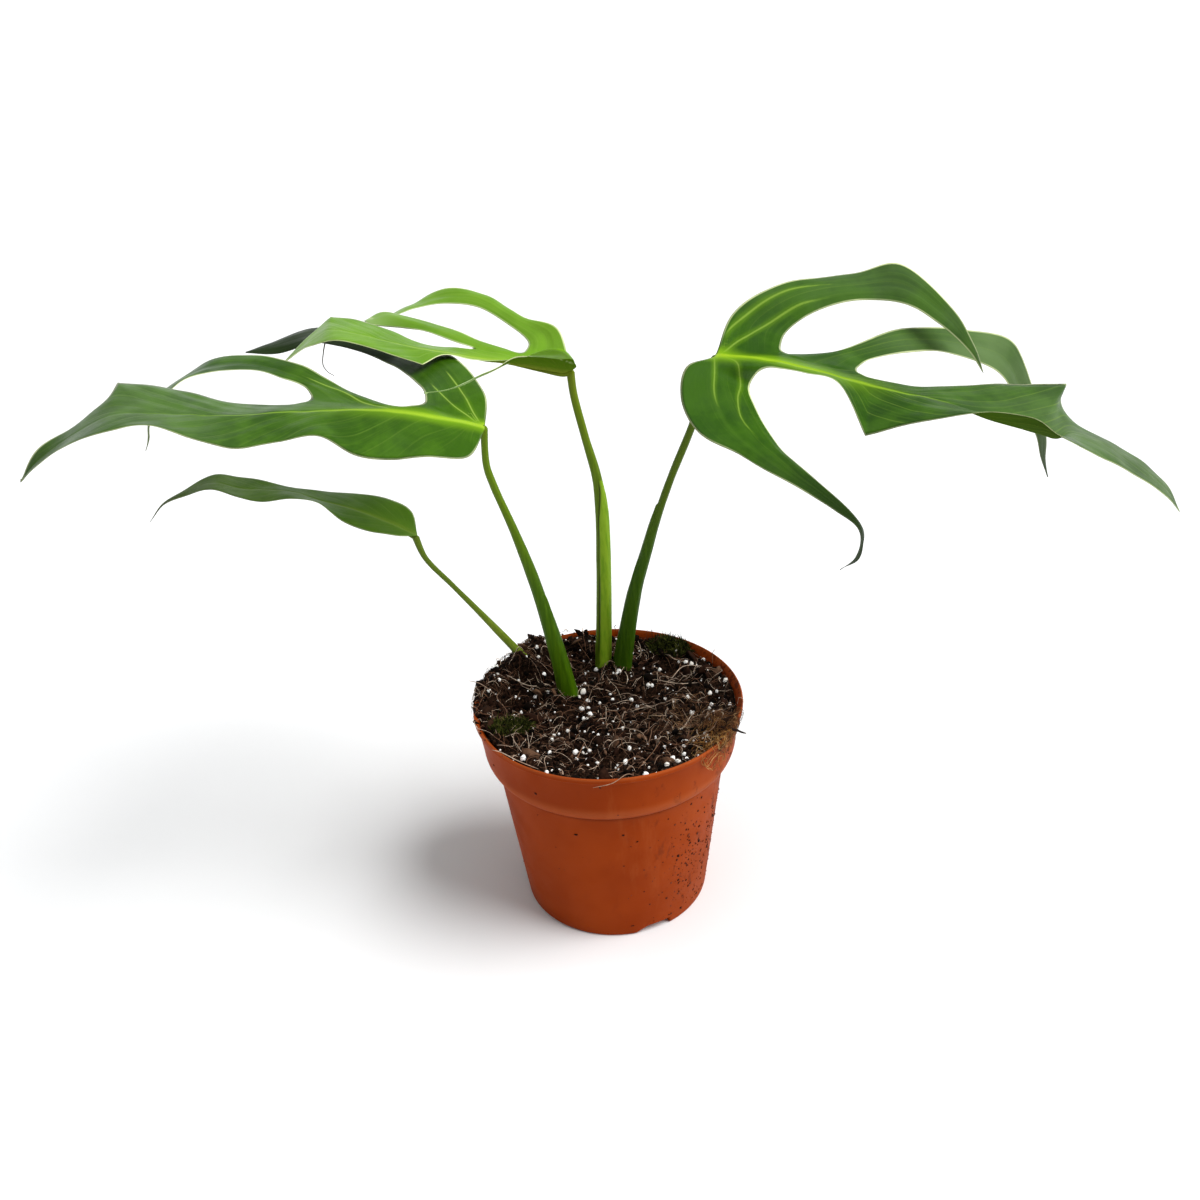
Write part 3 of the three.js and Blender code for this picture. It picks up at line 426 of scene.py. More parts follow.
def hermite(start, leaving, end, arriving, share):
    """Cubic from start to end, with these slopes at its ends; share runs from 0 to 1."""
    squared, cubed = share**2, share**3
    return (
        (2 * cubed - 3 * squared + 1) * start
        + (cubed - 2 * squared + share) * leaving
        + (3 * squared - 2 * cubed) * end
        + (cubed - squared) * arriving
    )


def curve_at(points, knots, at, sharp=()):
    """Smooth curve through the points; `at` counts points, so 2.5 is between 2 and 3.

    Each slope is the mean of the two chord slopes beside it, weighted by the other's knot
    step. At a sharp point the curve arrives and leaves along the chords.
    """
    spread = (-1,) + (1,) * (points.ndim - 1)
    step = np.diff(knots).reshape(spread)
    chord = np.diff(points, axis=0) / step
    inner = (chord[:-1] * step[1:] + chord[1:] * step[:-1]) / (step[1:] + step[:-1])
    slope = np.concatenate([chord[:1], inner, chord[-1:]])
    arriving, leaving = slope.copy(), slope.copy()
    for corner in sharp:
        arriving[corner] = chord[corner - 1]
        leaving[corner] = chord[corner]
    first = np.clip(np.floor(at).astype(int), 0, len(points) - 2)
    share = (at - first).reshape(spread)
    span = step[first]
    return hermite(
        points[first], leaving[first] * span, points[first + 1], arriving[first + 1] * span, share
    )


def smooth_route(points, steps):
    """Smooth curve through the points, in even steps of their count."""
    return curve_at(points, knots_through(points), np.linspace(0, len(points) - 1, steps))


def across_rib(ribs, across):
    """Points across ribs of three points, from -1 to 1: half a parabola, half a bent line."""
    across = across[None, :, None]
    first, middle, second = ribs[:, None, 0], ribs[:, None, 1], ribs[:, None, 2]
    bend = (first + second) / 2 - middle
    parabola = middle + (second - first) * across / 2 + bend * across * across
    bent_line = middle + np.where(across < 0, first - middle, second - middle) * np.abs(across)
    return bent_line + (parabola - bent_line) * RIB_ROUNDNESS


def numbered(sheet, first=0):
    """Point numbers for a grid of points, row by row."""
    return first + np.arange(sheet[..., 0].size).reshape(sheet.shape[:2])


def grid_quads(index):
    """Quads between the rows and columns of a grid of point numbers."""
    corners = [index[:-1, :-1], index[1:, :-1], index[1:, 1:], index[:-1, 1:]]
    return np.stack(corners, axis=-1).reshape(-1, 4)


def bearings(count):
    """Even bearings round the z axis, starting from 0."""
    return np.arange(count) * 2 * math.pi / count


def round_axis(radius, turn, height):
    """Points at these radii, bearings and heights round the z axis."""
    across, deep = radius * np.cos(turn), radius * np.sin(turn)
    return np.stack(np.broadcast_arrays(across, deep, height), axis=-1)


def spindle(share, loss, power=3):
    """1 in the middle of the way and 1 - loss at both ends."""
    return 1 - loss * np.abs(2 * share - 1) ** power


def ring_quads(rings, sides):
    """Quads of a tube of rings; each ring's last point joins its first."""
    index = np.arange(rings * sides).reshape(rings, sides)
    return grid_quads(np.concatenate([index, index[:, :1]], axis=1))


def closed_rings(rings, sides, upward=True):
    """Quads of a tube of rings that faces out, and the triangles from its first and last ring
    to the two poles, which are the points after the rings. The first pole is the lower one,
    or the upper one where the rings go down."""
    quads = ring_quads(rings, sides)
    here = np.arange(sides)
    following = (here + 1) % sides
    if upward:
        quads = quads[:, ::-1]
    else:
        here, following = following, here
    first, last = rings * sides, (rings - 1) * sides
    start = np.stack([np.full(sides, first), following, here], axis=-1)
    end = np.stack([np.full(sides, first + 1), last + here, last + following], axis=-1)
    return quads, np.concatenate([start, end])


def point_normals(points, quads):
    """Unit normal of each point: the sum of its quads' normals, as cross products of diagonals."""
    normal = np.cross(points[quads[:, 2]] - points[quads[:, 0]],
                      points[quads[:, 3]] - points[quads[:, 1]])
    total = np.zeros_like(points)
    for corner in range(4):
        for axis in range(3):
            total[:, axis] += np.bincount(quads[:, corner], normal[:, axis], len(points))
    return unit(total)


def rough(points, size, seed=0):
    """Smooth random value from -1 to 1: random numbers on a lattice of `size`, blended between
    the eight corners round each point with 3t^2 - 2t^3."""
    places = np.asarray(points, float) / size + 17.3 * seed
    cell = np.floor(places)
    share = places - cell
    share = share * share * (3 - 2 * share)
    total = np.zeros(places.shape[:-1])
    for corner in np.ndindex(2, 2, 2):
        corner = np.array(corner)
        wave = np.sin((cell + corner) @ np.array([127.1, 311.7, 74.7])) * 43758.5453
        weight = np.prod(np.where(corner == 1, share, 1 - share), axis=-1)
        total += weight * (wave - np.floor(wave))
    return 2 * total - 1


# Meshes

def piece(name, points, faces, materials, attributes=None, face_materials=None):
    """A smooth-shaded object at the origin that rides on the root body."""
    mesh = bpy.data.meshes.new(name)
    mesh.from_pydata(points, [], faces)
    for key, values in (attributes or {}).items():
        made = mesh.attributes.new(key, "FLOAT", "POINT")
        made.data.foreach_set("value", np.asarray(values, np.float32).ravel())
    for material in materials:
        mesh.materials.append(material)
    mesh.polygons.foreach_set("use_smooth", np.ones(len(mesh.polygons), bool))
    if face_materials is not None:
        mesh.polygons.foreach_set("material_index", np.asarray(face_materials, np.int32))
    mesh.validate()
    mesh.update()
    made = bpy.data.objects.new(name, mesh)
    bpy.context.scene.collection.objects.link(made)
    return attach(made, "root")


def turns_from(rng, count):
    """Random turns as an array of 3 by 3 matrices, from unit quaternions."""
    w, x, y, z = unit(rng.normal(size=(count, 4))).T
    rows = [
        [1 - 2 * (y * y + z * z), 2 * (x * y - z * w), 2 * (x * z + y * w)],
        [2 * (x * y + z * w), 1 - 2 * (x * x + z * z), 2 * (y * z - x * w)],
        [2 * (x * z - y * w), 2 * (y * z + x * w), 1 - 2 * (x * x + y * y)],
    ]
    return np.moveaxis(np.array(rows), -1, 0)


def repeated(points, triangles):
    """Many copies of a mesh as one: all their points, all their triangles and the number of
    points in a copy."""
    count, per = points.shape[:2]
    starts = np.arange(count)[:, None, None] * per
    return points.reshape(-1, 3), (triangles[None] + starts).reshape(-1, 3), per


def lumps(rng, centres, sizes, unevenness, rings=3, sides=6):
    """Many small closed lumps: balls with each point moved in or out at random, stretched by
    three sizes, turned at random and set at their centres. Gives what `repeated` gives."""
    rise = np.linspace(0, math.pi, rings + 2)[1:-1, None]
    ball = round_axis(np.sin(rise), bearings(sides), np.cos(rise)).reshape(-1, 3)
    ball = np.concatenate([ball, [[0, 0, 1], [0, 0, -1]]])
    grown = 1 + unevenness * rng.uniform(-1, 1, (len(centres), len(ball), 1))
    shaped = ball[None] * grown * sizes[:, None, :]
    points = np.einsum("cij,cpj->cpi", turns_from(rng, len(centres)), shaped) + centres[:, None]
    quads, ends = closed_rings(rings, sides, upward=False)
    return repeated(points, np.concatenate([quads[:, [0, 1, 2]], quads[:, [0, 2, 3]], ends]))


def tubes(paths, radii, sides=4, up=(0.13, 0.21, 0.97)):
    """Many closed tubes of the same number of points: a ring of `sides` points round each path
    point, square to the path's direction, and flat ends. Gives what `repeated` gives."""
    count, steps = paths.shape[:2]
    forward = unit(np.gradient(paths, axis=1))
    side = unit(np.cross(forward, np.array(up)))
    other = np.cross(forward, side)
    turn = bearings(sides)
    ring = side[:, :, None] * np.cos(turn)[:, None] + other[:, :, None] * np.sin(turn)[:, None]
    points = paths[:, :, None] + ring * radii[:, :, None, None]
    quads = ring_quads(steps, sides)
    fan = np.arange(1, sides - 1)
    last = (steps - 1) * sides
    start_cap = np.stack([fan, fan + 1, 0 * fan], axis=-1)
    end_cap = np.stack([last + fan + 1, last + fan, last + 0 * fan], axis=-1)
    triangles = [quads[:, [0, 2, 1]], quads[:, [0, 3, 2]], start_cap, end_cap]
    return repeated(points.reshape(count, -1, 3), np.concatenate(triangles))


def loose_bits(name, shape, tints, slot, finish, colours, replaced=None, **look):
    """A piece of many small bodies: each has its own `tint`, and all have one finish."""
    points, faces, per = shape
    bits = piece(name, points, faces, [tinted_material(f"{finish}_finish", colours, **look)],
                 {"tint": np.repeat(tints, per)})
    if replaced:
        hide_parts(replaced)


# Materials

def paint(red, green, blue):
    """A colour from its 0 to 255 screen values, as the linear colour that a socket takes."""
    screen = np.array([red, green, blue]) / 255
    linear = np.where(screen <= 0.04045, screen / 12.92, ((screen + 0.055) / 1.055) ** 2.4)
    return (*linear.tolist(), 1.0)


def painted(**colours):
    """Each named colour from its 0 to 255 screen values."""
    return {name: paint(*values) for name, values in colours.items()}


class Shader:
    """A material written as short calls, each of which adds a node and gives its output."""

    def __init__(self, name, shine):
        self.material = bpy.data.materials.new(name)
        self.material.use_nodes = True
        self.tree = self.material.node_tree
        self.surface = self.tree.nodes["Principled BSDF"]
        self.surface.inputs["Specular IOR Level"].default_value = shine
        self.place = self.node("ShaderNodeTexCoord", output="Object")

    def put(self, value, socket):
        if isinstance(value, bpy.types.NodeSocket):
            self.tree.links.new(value, socket)
        else:
            socket.default_value = value

    def node(self, kind, inputs=None, output=0, **settings):
        made = self.tree.nodes.new(kind)
        for key, value in settings.items():
            setattr(made, key, value)
        for key, value in (inputs or {}).items():
            self.put(value, made.inputs[key])
        return made.outputs[output]

    def math(self, operation, *values):
        return self.node("ShaderNodeMath", dict(enumerate(values)), operation=operation)

    def times(self, *values):
        result = values[0]
        for value in values[1:]:
            result = self.math("MULTIPLY", result, value)
        return result

    def plus(self, first, second):
        return self.math("ADD", first, second)

    def less(self, first, second):
        return self.math("SUBTRACT", first, second)

    def larger(self, first, second):
        return self.math("MAXIMUM", first, second)

    def mix(self, share, first, second, way="MIX"):
        sockets = {0: share, 6: first, 7: second}
        return self.node("ShaderNodeMix", sockets, 2, data_type="RGBA", blend_type=way)

    def coat(self, color, over, *shares):
        """The colour under another one, which covers it by the product of the shares."""
        return self.mix(self.times(*shares), color, over)

    def shaded(self, color, shade):
        """The colour times a grey."""
        return self.mix(1.0, color, self.vector(shade, shade, shade), "MULTIPLY")

    def step(self, value, low, high, start=0.0, end=1.0):
        """From start to end as the value goes from low to high, smoothly."""
        sockets = {0: value, 1: low, 2: high, 3: start, 4: end}
        return self.node("ShaderNodeMapRange", sockets, interpolation_type="SMOOTHSTEP")

    def fall(self, value, low, high, end=0.0):
        """From 1 down to the end as the value goes from low to high, smoothly."""
        return self.step(value, low, high, 1.0, end)

    def stripe(self, value, rise, fall):
        """1 on a stripe: it rises between the first two values and falls between the others."""
        return self.times(self.step(value, *rise), self.fall(value, *fall))

    def read(self, attribute):
        return self.node("ShaderNodeAttribute", output="Fac", attribute_name=attribute)

    def part(self, axis):
        """The place along one axis: 0 is x, 1 is y and 2 is z."""
        return self.node("ShaderNodeSeparateXYZ", {0: self.place}, axis)

    def vector(self, x, y, z):
        return self.node("ShaderNodeCombineXYZ", {0: x, 1: y, 2: z})

    def scaled(self, *scale):
        return self.node("ShaderNodeMapping", {"Vector": self.place, "Scale": scale})

    def noise(self, scale, detail=3.0, roughness=0.55, place=None):
        sockets = {"Vector": place or self.place, "Scale": scale, "Detail": detail,
                   "Roughness": roughness}
        return self.node("ShaderNodeTexNoise", sockets)

    def long_noise(self, scale, detail, roughness):
        """Noise with its own scale along each axis, so that its spots are long or flat."""
        return self.noise(1.0, detail, roughness, self.scaled(*scale))

    def cells(self, scale, place=None):
        sockets = {"Vector": place or self.place, "Scale": scale}
        return self.node("ShaderNodeTexVoronoi", sockets, "Distance")

    def finish(self, color, roughness, height=None, depth=0.0001):
        self.put(color, self.surface.inputs["Base Color"])
        self.put(roughness, self.surface.inputs["Roughness"])
        if height is not None:
            sockets = {"Height": height, "Distance": depth, "Strength": 1.0}
            self.put(self.node("ShaderNodeBump", sockets), self.surface.inputs["Normal"])
        return self.material


class SkyShader(Shader):
    """The same short calls for the world, where `place` is the direction of the light."""

    def __init__(self, world):
        self.tree = world.node_tree
        self.place = self.node("ShaderNodeTexCoord", output="Generated")


def pot_material(settings):
    """Satin moulded plastic: slow colour drift and fine turning lines, a worn lip, scuffs, dust
    and dried splashes on the right side, where the dust is also a painted sheen, and a painted
    highlight on the collar's rounded lower edge over painted shade where its foot meets the body."""
    shader = Shader("pot_plastic_finish", 0.04)
    # The scuff colour also paints a highlight, and the speck colour a shade, at the collar's foot.
    pale, speck_and_shade = settings.scuff_and_highlight_colour, settings.speck_and_shade_colour
    drift = shader.step(shader.noise(22.0, 3.0), 0.35, 0.7)
    color = shader.mix(drift, settings.body_colour, settings.deep_colour)
    across, height = shader.part(0), shader.part(2)
    lip = shader.step(height, POT_HEIGHT - 0.0014, POT_HEIGHT - 0.0004)
    scuffs = shader.step(shader.long_noise((60.0, 60.0, 9.0), 6.0, 0.7), 0.56, 0.72)
    # Dust on the right side, which also stands for a painted sheen on that lit side.
    dust_and_sheen = shader.times(shader.step(across, 0.005, 0.045),
                        shader.step(shader.noise(35.0, 4.0), 0.3, 0.7, 0.4, 1.0))
    smears = shader.long_noise((150.0, 150.0, 70.0), 6.0, 0.72)
    smears = shader.times(shader.step(smears, 0.56, 0.68),
                          shader.step(across, -0.01, 0.046, 0.1, 1.0))
    blots = shader.long_noise((420.0, 420.0, 260.0), 4.0, 0.65)
    blots = shader.times(shader.step(blots, 0.5, 0.58), shader.step(across, 0.04, 0.05))
    # Painted highlight: a pale stripe on the collar's rounded lower edge, in the scuff colour.
    painted_collar_highlight = shader.stripe(height, (COLLAR_FOOT + 0.001, COLLAR_FOOT + 0.003),
                         (COLLAR_FOOT + 0.005, COLLAR_FOOT + 0.009))
    # Painted shade: a dark stripe where the collar's foot meets the body, in the speck colour.
    painted_collar_shade = shader.stripe(height, (COLLAR_FOOT - 0.003, COLLAR_FOOT - 0.0002),
                           (COLLAR_FOOT + 0.0002, COLLAR_FOOT + 0.0016))
    for share, strength, over in (
        (lip, 0.3, pale), (scuffs, 0.14, pale), (dust_and_sheen, 0.24, settings.dust_and_sheen_colour),
        (smears, 0.6, speck_and_shade), (blots, 0.7, speck_and_shade), (painted_collar_highlight, 0.25, pale), (painted_collar_shade, 0.75, speck_and_shade),
    ):
        color = shader.coat(color, over, share, strength)
    rings = shader.long_noise((6.0, 6.0, 2600.0), 2.0, 0.5)
    relief = shader.plus(shader.times(rings, 0.5), shader.times(shader.noise(1500.0, 2.0), 0.5))
    gloss = shader.step(shader.noise(90.0, 4.0), 0.3, 0.75, 0.42, 0.56)
    return shader.finish(color, shader.plus(gloss, shader.times(dust_and_sheen, 0.12)), relief, 0.00006)


def soil_material(settings):
    """Damp peat and coir: near black to red brown grains with fine crumbly relief."""
    shader = Shader("potting_mix_finish", 0.1)
    fine = shader.noise(900.0, 5.0, 0.7)
    patch = shader.noise(70.0, 4.0, 0.6)
    color = shader.mix(shader.step(patch, 0.35, 0.65), settings.dark_colour, settings.brown_colour)
    color = shader.mix(shader.step(fine, 0.5, 0.72), color, settings.light_colour)
    color = shader.shaded(color, shader.step(shader.cells(600.0), 0.0, 0.7, 0.45, 1.0))
    relief = shader.plus(fine, shader.cells(500.0))
    return shader.finish(color, shader.step(patch, 0.3, 0.7, 0.75, 0.95), relief, 0.0009)


def tinted_material(name, colours, roughness=0.85, grain=700.0, contrast=0.4, glow=0.0):
    """Loose bits: each bit's own `tint`, from 0 to 1, picks its colour, and noise mottles it.
    The glow is painted light, which lifts white grains out of the shade among the mix."""
    shader = Shader(name, 0.12)
    # Painted light: an even glow, used on the white grains that lie in shade.
    shader.surface.inputs["Emission Color"].default_value = (1.0, 0.98, 0.95, 1.0)
    shader.surface.inputs["Emission Strength"].default_value = glow
    tint = shader.read("tint")
    color = colours[0]
    for number, following in enumerate(colours[1:]):
        low = number / (len(colours) - 1)
        color = shader.mix(shader.step(tint, low, low + 1 / (len(colours) - 1)), color, following)
    mottle = shader.noise(grain, 4.0, 0.65)
    color = shader.shaded(color, shader.step(mottle, 0.25, 0.75, 0.95 - contrast, 0.95 + contrast))
    return shader.finish(color, shader.step(mottle, 0.2, 0.8, roughness - 0.12, roughness),
                         mottle, 0.0002)


def leaf_material(name, look):
    """Leathery leaf skin, drawn from the blade's own attributes.

    `fan` is whole on each side vein and `spacing` is the millimetres between two of them, so
    the distance to the nearest vein is pingpong(fan) times spacing. `reach` is 0 at the
    midrib, 1 at the main blade's margin and 2 at a lobe's end. The midrib is bright near the
    stalk and fades to the tip, the margin has a thin pale line, `pale` parts have a painted
    sheen that stands for glossy reflections, and `tail` is near 1 where an end takes on the
    tip's colour, which is painted shade where it comes early on the left blade's first lobe.
    """
    shader = Shader(name, look["shine"])
    fan, spacing, reach = shader.read("fan"), shader.read("spacing"), shader.read("reach")
    along, from_midrib = shader.read("along"), shader.read("from_midrib")
    from_edge, tail, near_vein = (shader.read(key) for key in ("from_edge", "tail", "vein_near"))

    blotch = shader.step(shader.noise(55.0, 4.0, 0.6), 0.36, 0.62)
    color = shader.mix(blotch, look["flesh"], look["shade"])
    streaks = shader.noise(1.0, 5.0, 0.65, shader.vector(shader.times(fan, 6.0),
                                                         shader.times(reach, 1.6), 3.1))
    color = shader.mix(shader.step(streaks, 0.45, 0.75, 0.0, 0.42), color, look["light"])
    color = shader.coat(color, look["base"], shader.fall(along, 0.0, 0.55), 0.45)
    # Painted sheen: a pale patchy coat where `pale` is set, standing for glossy reflections.
    wax = shader.step(shader.noise(38.0, 3.0), 0.35, 0.65, 0.5, 1.0)
    color = shader.coat(color, look["wax"], shader.read("pale"), wax)

    basal = shader.times(shader.fall(along, 0.05, 0.32), shader.step(reach, 0.5, 0.8, 0.3, 1.0))
    wander = shader.times(shader.less(shader.noise(160.0, 2.0), 0.5), 0.25)
    primary = shader.times(shader.math("PINGPONG", fan, 0.5), spacing)
    primary = shader.times(shader.fall(shader.plus(primary, wander), 0.08, 0.36),
                           shader.fall(reach, 0.8, 1.85, 0.1))
    in_lobe = shader.times(shader.step(reach, 0.95, 1.05), shader.step(reach, 1.1, 1.6, 0.5, 0.0))
    faint = shader.larger(shader.step(reach, 0.35, 0.9, 0.5, 0.0), in_lobe)
    halfway = shader.times(shader.math("PINGPONG", shader.plus(fan, 0.5), 0.5), spacing)
    halfway = shader.times(shader.fall(shader.plus(halfway, wander), 0.05, 0.3), faint)
    inner = shader.step(from_edge, 0.7, 2.4)
    vein = shader.times(shader.larger(primary, halfway), inner, shader.less(1.0, basal),
                        shader.step(spacing, 1.0, 2.6), look["vein_strength"])
    beside = shader.math("ABSOLUTE", shader.read("vein_side"))
    placed = shader.times(shader.step(beside, 0.1, 0.45, look["lobe_veins"], 0.0),
                          shader.fall(near_vein, 0.8, 1.8), inner)
    color = shader.coat(color, look["glow"], shader.step(near_vein, 0.3, 2.0, 0.25, 0.0), inner)
    color = shader.mix(shader.larger(vein, placed), color, look["vein"])

    width = shader.step(along, 0.0, 0.62, 1.7 * look["spread"], 0.34)
    rib = shader.fall(shader.math("DIVIDE", from_midrib, width), 0.1, 1.3)
    rib_colour = shader.mix(shader.step(along, 0.0, 0.75), look["midrib"], look["midrib_tip"])
    color = shader.coat(color, look["glow"], shader.fall(from_midrib, 0.4, 6.4 * look["spread"]),
                        shader.fall(along, 0.06, 0.5))
    color = shader.coat(color, rib_colour, rib, shader.fall(along, 0.5, 0.95, 0.25))

    ragged = shader.step(shader.noise(45.0, 3.0), 0.4, 0.6, 0.55, 1.0)
    color = shader.coat(color, look["edge"], shader.fall(from_edge, 0.3, 0.95), ragged,
                        look["edge_strength"], shader.fall(tail, 0.6, 0.9, 0.15),
                        shader.step(along, 0.01, 0.07))
    # The end colour; where it is dark and starts early, as on the left blade's first lobe, it is
    # painted shade.
    color = shader.coat(color, look["tail"], shader.step(tail, 0.3, 0.8), 0.92)

    relief = shader.plus(shader.times(streaks, 0.6),
                         shader.times(shader.noise(500.0, 4.0, 0.6), 0.4))
    relief = shader.plus(relief, shader.times(vein, look["vein_relief"]))
    roughness = shader.step(shader.noise(80.0, 5.0, 0.6), 0.3, 0.7, look["gloss"],
                            look["gloss"] + 0.16)
    return shader.finish(color, roughness, relief, 0.00016)


def petiole_material(name, look):
    """Smooth stalk: long streaks, a paler sheath, an olive upper end and a few dark marks."""
    shader = Shader(name, 0.1)
    along, sheath, slit = shader.read("along"), shader.read("sheath"), shader.read("slit")
    streaks = shader.long_noise((900.0, 900.0, 45.0), 4.0, 0.6)
    color = shader.mix(shader.step(streaks, 0.35, 0.7), look["low"], look["streak"])
    color = shader.mix(shader.step(along, look["turn"], look["turn"] + 0.35), color, look["high"])
    color = shader.mix(sheath, color, shader.mix(shader.step(streaks, 0.4, 0.7), look["sheath"],
                                                 look["sheath_streak"]))
    marks = shader.fall(shader.cells(1.0, shader.scaled(420.0, 420.0, 150.0)), 0.05, 0.16)
    some = shader.step(shader.noise(110.0, 2.0), 0.62, 0.72)
    color = shader.coat(color, look["mark"], marks, some, 0.6)
    color = shader.mix(slit, color, look["mark"])
    roughness = shader.step(shader.noise(200.0, 3.0), 0.3, 0.7, 0.34, 0.5)
    relief = shader.plus(streaks, shader.times(shader.noise(900.0, 2.0), 0.4))
    return shader.finish(color, roughness, relief, 0.00012)


def cork_material():
    """Buried stem: brown cork with ring-like scars."""
    shader = Shader("rhizome_cork", 0.2)
    rings = shader.long_noise((700.0, 160.0, 160.0), 5.0, 0.7)
    color = shader.mix(shader.step(rings, 0.35, 0.7), paint(92, 74, 40), paint(52, 38, 22))
    return shader.finish(color, shader.step(rings, 0.3, 0.7, 0.7, 0.9), rings, 0.0006)


def floor_material(settings):
    """Plain pale studio floor with a barely visible mottle."""
    shader = Shader("studio_floor", 0.0)
    mottle = shader.step(shader.noise(3.0, 2.0), 0.3, 0.7)
    darker = (*(0.985 * part for part in settings.floor_colour[:3]), 1.0)
    color = shader.mix(mottle, settings.floor_colour, darker)
    return shader.finish(color, shader.step(mottle, 0.0, 1.0, 0.85, 0.9))


# Settings

def length(name, description, default):
    return bpy.props.FloatProperty(name=name, description=description, default=default, min=0.0,
                                   precision=5, unit="LENGTH")


def number(name, description, default, **more):
    return bpy.props.FloatProperty(name=name, description=description, default=default, **more)


def colour(name, description, default):
    return bpy.props.FloatVectorProperty(name=name, description=description, default=default,
                                         size=4, min=0.0, max=1.0, subtype="COLOR")


def count_of(name, description, default):
    return bpy.props.IntProperty(name=name, description=description, default=default, min=0)


class PotSettings(bpy.types.PropertyGroup):
    """Sizes and colours of the pot."""

    wall: length("Wall", "Thickness of the plastic", 0.0016)
    body_colour: colour("Body", "Main colour of the plastic", paint(154, 58, 4))
    deep_colour: colour("Deep", "Darker drift in the plastic", paint(140, 50, 3))
    # Its colour also paints the highlight on the collar's rounded lower edge.
    scuff_and_highlight_colour: colour("Scuffs", "Scuffs and the worn lip", paint(188, 102, 56))
    # Dust that also stands for a painted sheen on the lit right side.
    dust_and_sheen_colour: colour("Dust", "Dry dust on the right side", paint(172, 94, 54))
    # Its colour also paints the shade where the collar's foot meets the body.
    speck_and_shade_colour: colour("Specks", "Dried splashes of mix", paint(76, 26, 10))


class MixSettings(bpy.types.PropertyGroup):
    """The potting mix and the loose bits on it."""

    dark_colour: colour("Dark", "Damp peat", paint(10, 6, 4))
    brown_colour: colour("Brown", "Drier mix", paint(42, 26, 17))
    light_colour: colour("Light", "Dry crumbs", paint(104, 76, 58))
    crumbs: count_of("Crumbs", "Number of loose crumbs", 2600)
    chips: count_of("Chips", "Number of bark chips", 170)
    grains: count_of("Perlite", "Number of small white grains", 240)
    fibres: count_of("Fibres", "Number of loose coconut fibres", 1700)


class LeafSettings(bpy.types.PropertyGroup):
    """Sizes of the blades' relief."""

    thickness: length("Thickness", "Thickness of a blade between its veins", 0.00045)
    groove: length("Groove", "Depth of the midrib's groove on top", 0.0004)
    keel: length("Keel", "How far the midrib stands out below", 0.0010)
    swell: length("Swell", "How far the blade swells between side veins", 0.00028)
    waviness: length("Waviness", "Waves along the margin", 0.0006)


class StageSettings(bpy.types.PropertyGroup):
    """Floor, light and camera."""

    floor_colour: colour("Floor", "Colour of the floor", (0.93, 0.93, 0.93, 1.0))
    floor_radius: length("Floor radius", "Radius of the floor", 9.0)
    sky: number("Sky", "Strength of the light from all round", 0.25)
    overhead: number("Overhead", "Strength of the light from overhead", 0.9)
    backdrop: number("Backdrop", "What the pale backdrop behind adds", 1.0)
    key: number("Key", "Strength of the main light", 3.6)
    key_softness: number("Key softness", "Angle that the main light fills", math.radians(42),
                         unit="ROTATION")
    lens: number("Lens", "Focal length in millimetres on a 36 mm sensor", 39.0)


# Pot

def rounded(corners, bend=6):
    """Outline with its corners rounded: each is a quadratic curve that starts and ends at its
    own cut distance from the corner, with the corner as its control point."""
    points = np.array([corner[:2] for corner in corners], float)
    outline = [points[:1]]
    share = np.linspace(0, 1, bend)[:, None]
    for before, corner, after, (_, _, cut) in zip(points, points[1:], points[2:], corners[1:]):
        start = corner + unit(before - corner) * cut
        end = corner + unit(after - corner) * cut
        curve = (1 - share) ** 2 * start + 2 * share * (1 - share) * corner + share**2 * end
        outline.append(curve if cut > 0 else corner[None])
    outline.append(points[-1:])
    return np.concatenate(outline)


def body_radius(height):
    """Outer radius of the tapered body."""
    return BASE_RADIUS + BODY_TAPER * height


def shoulder(inset, rise):
    """The collar's round lower edge: a quarter of an ellipse from the body out to the collar."""
    turn = np.linspace(0, math.pi / 2, 12)
    radius = body_radius(COLLAR_FOOT) + COLLAR_STEP * np.sin(turn) - inset
    height = COLLAR_FOOT + rise + (SHOULDER_HEIGHT - rise) * (1 - np.cos(turn))
    return [(*point, 0) for point in zip(radius, height)]


def pot_profile(wall):
    """Outline of the pot's wall from the axis below to the axis above, and the number of the
    first point inside."""
    levels = [0.0044, 0.006, *np.arange(0.01, COLLAR_FOOT - 0.004, 0.008)]
    outside = rounded([
        (0, 0, 0),
        (NOTCH_INNER_RADIUS - 0.0003, 0, 0),
        (NOTCH_INNER_RADIUS + 0.0003, 0, 0),
        (BASE_RADIUS, 0, 0.0014),
        (body_radius(NOTCH_HEIGHT + 0.0002), NOTCH_HEIGHT + 0.0002, 0),
        *[(body_radius(level), level, 0) for level in levels],
        (body_radius(COLLAR_FOOT), COLLAR_FOOT, 0.0006),
        *shoulder(0, 0)[1:],
        (RIM_RADIUS - LIP, POT_HEIGHT - RIM_DEPTH, 0.0006),
        (RIM_RADIUS, POT_HEIGHT - 0.0024, 0.0004),
        (RIM_RADIUS, POT_HEIGHT, 0.0007),
        (RIM_RADIUS - 0.0009 - wall, POT_HEIGHT, 0.0006),
    ])
    inside = rounded([
        (RIM_RADIUS - LIP - wall, POT_HEIGHT - RIM_DEPTH, 0),
        *shoulder(wall, 0.001)[::-1],
        (body_radius(0.0062) - wall, 0.0062, 0),
        (BASE_RADIUS - wall, wall, 0.0012),
        (NOTCH_INNER_RADIUS - wall + 0.0003, wall, 0),
        (NOTCH_INNER_RADIUS - wall - 0.0003, wall, 0),
        (0, wall, 0),
    ])
    return np.concatenate([outside[:-1], inside]), len(outside) - 1


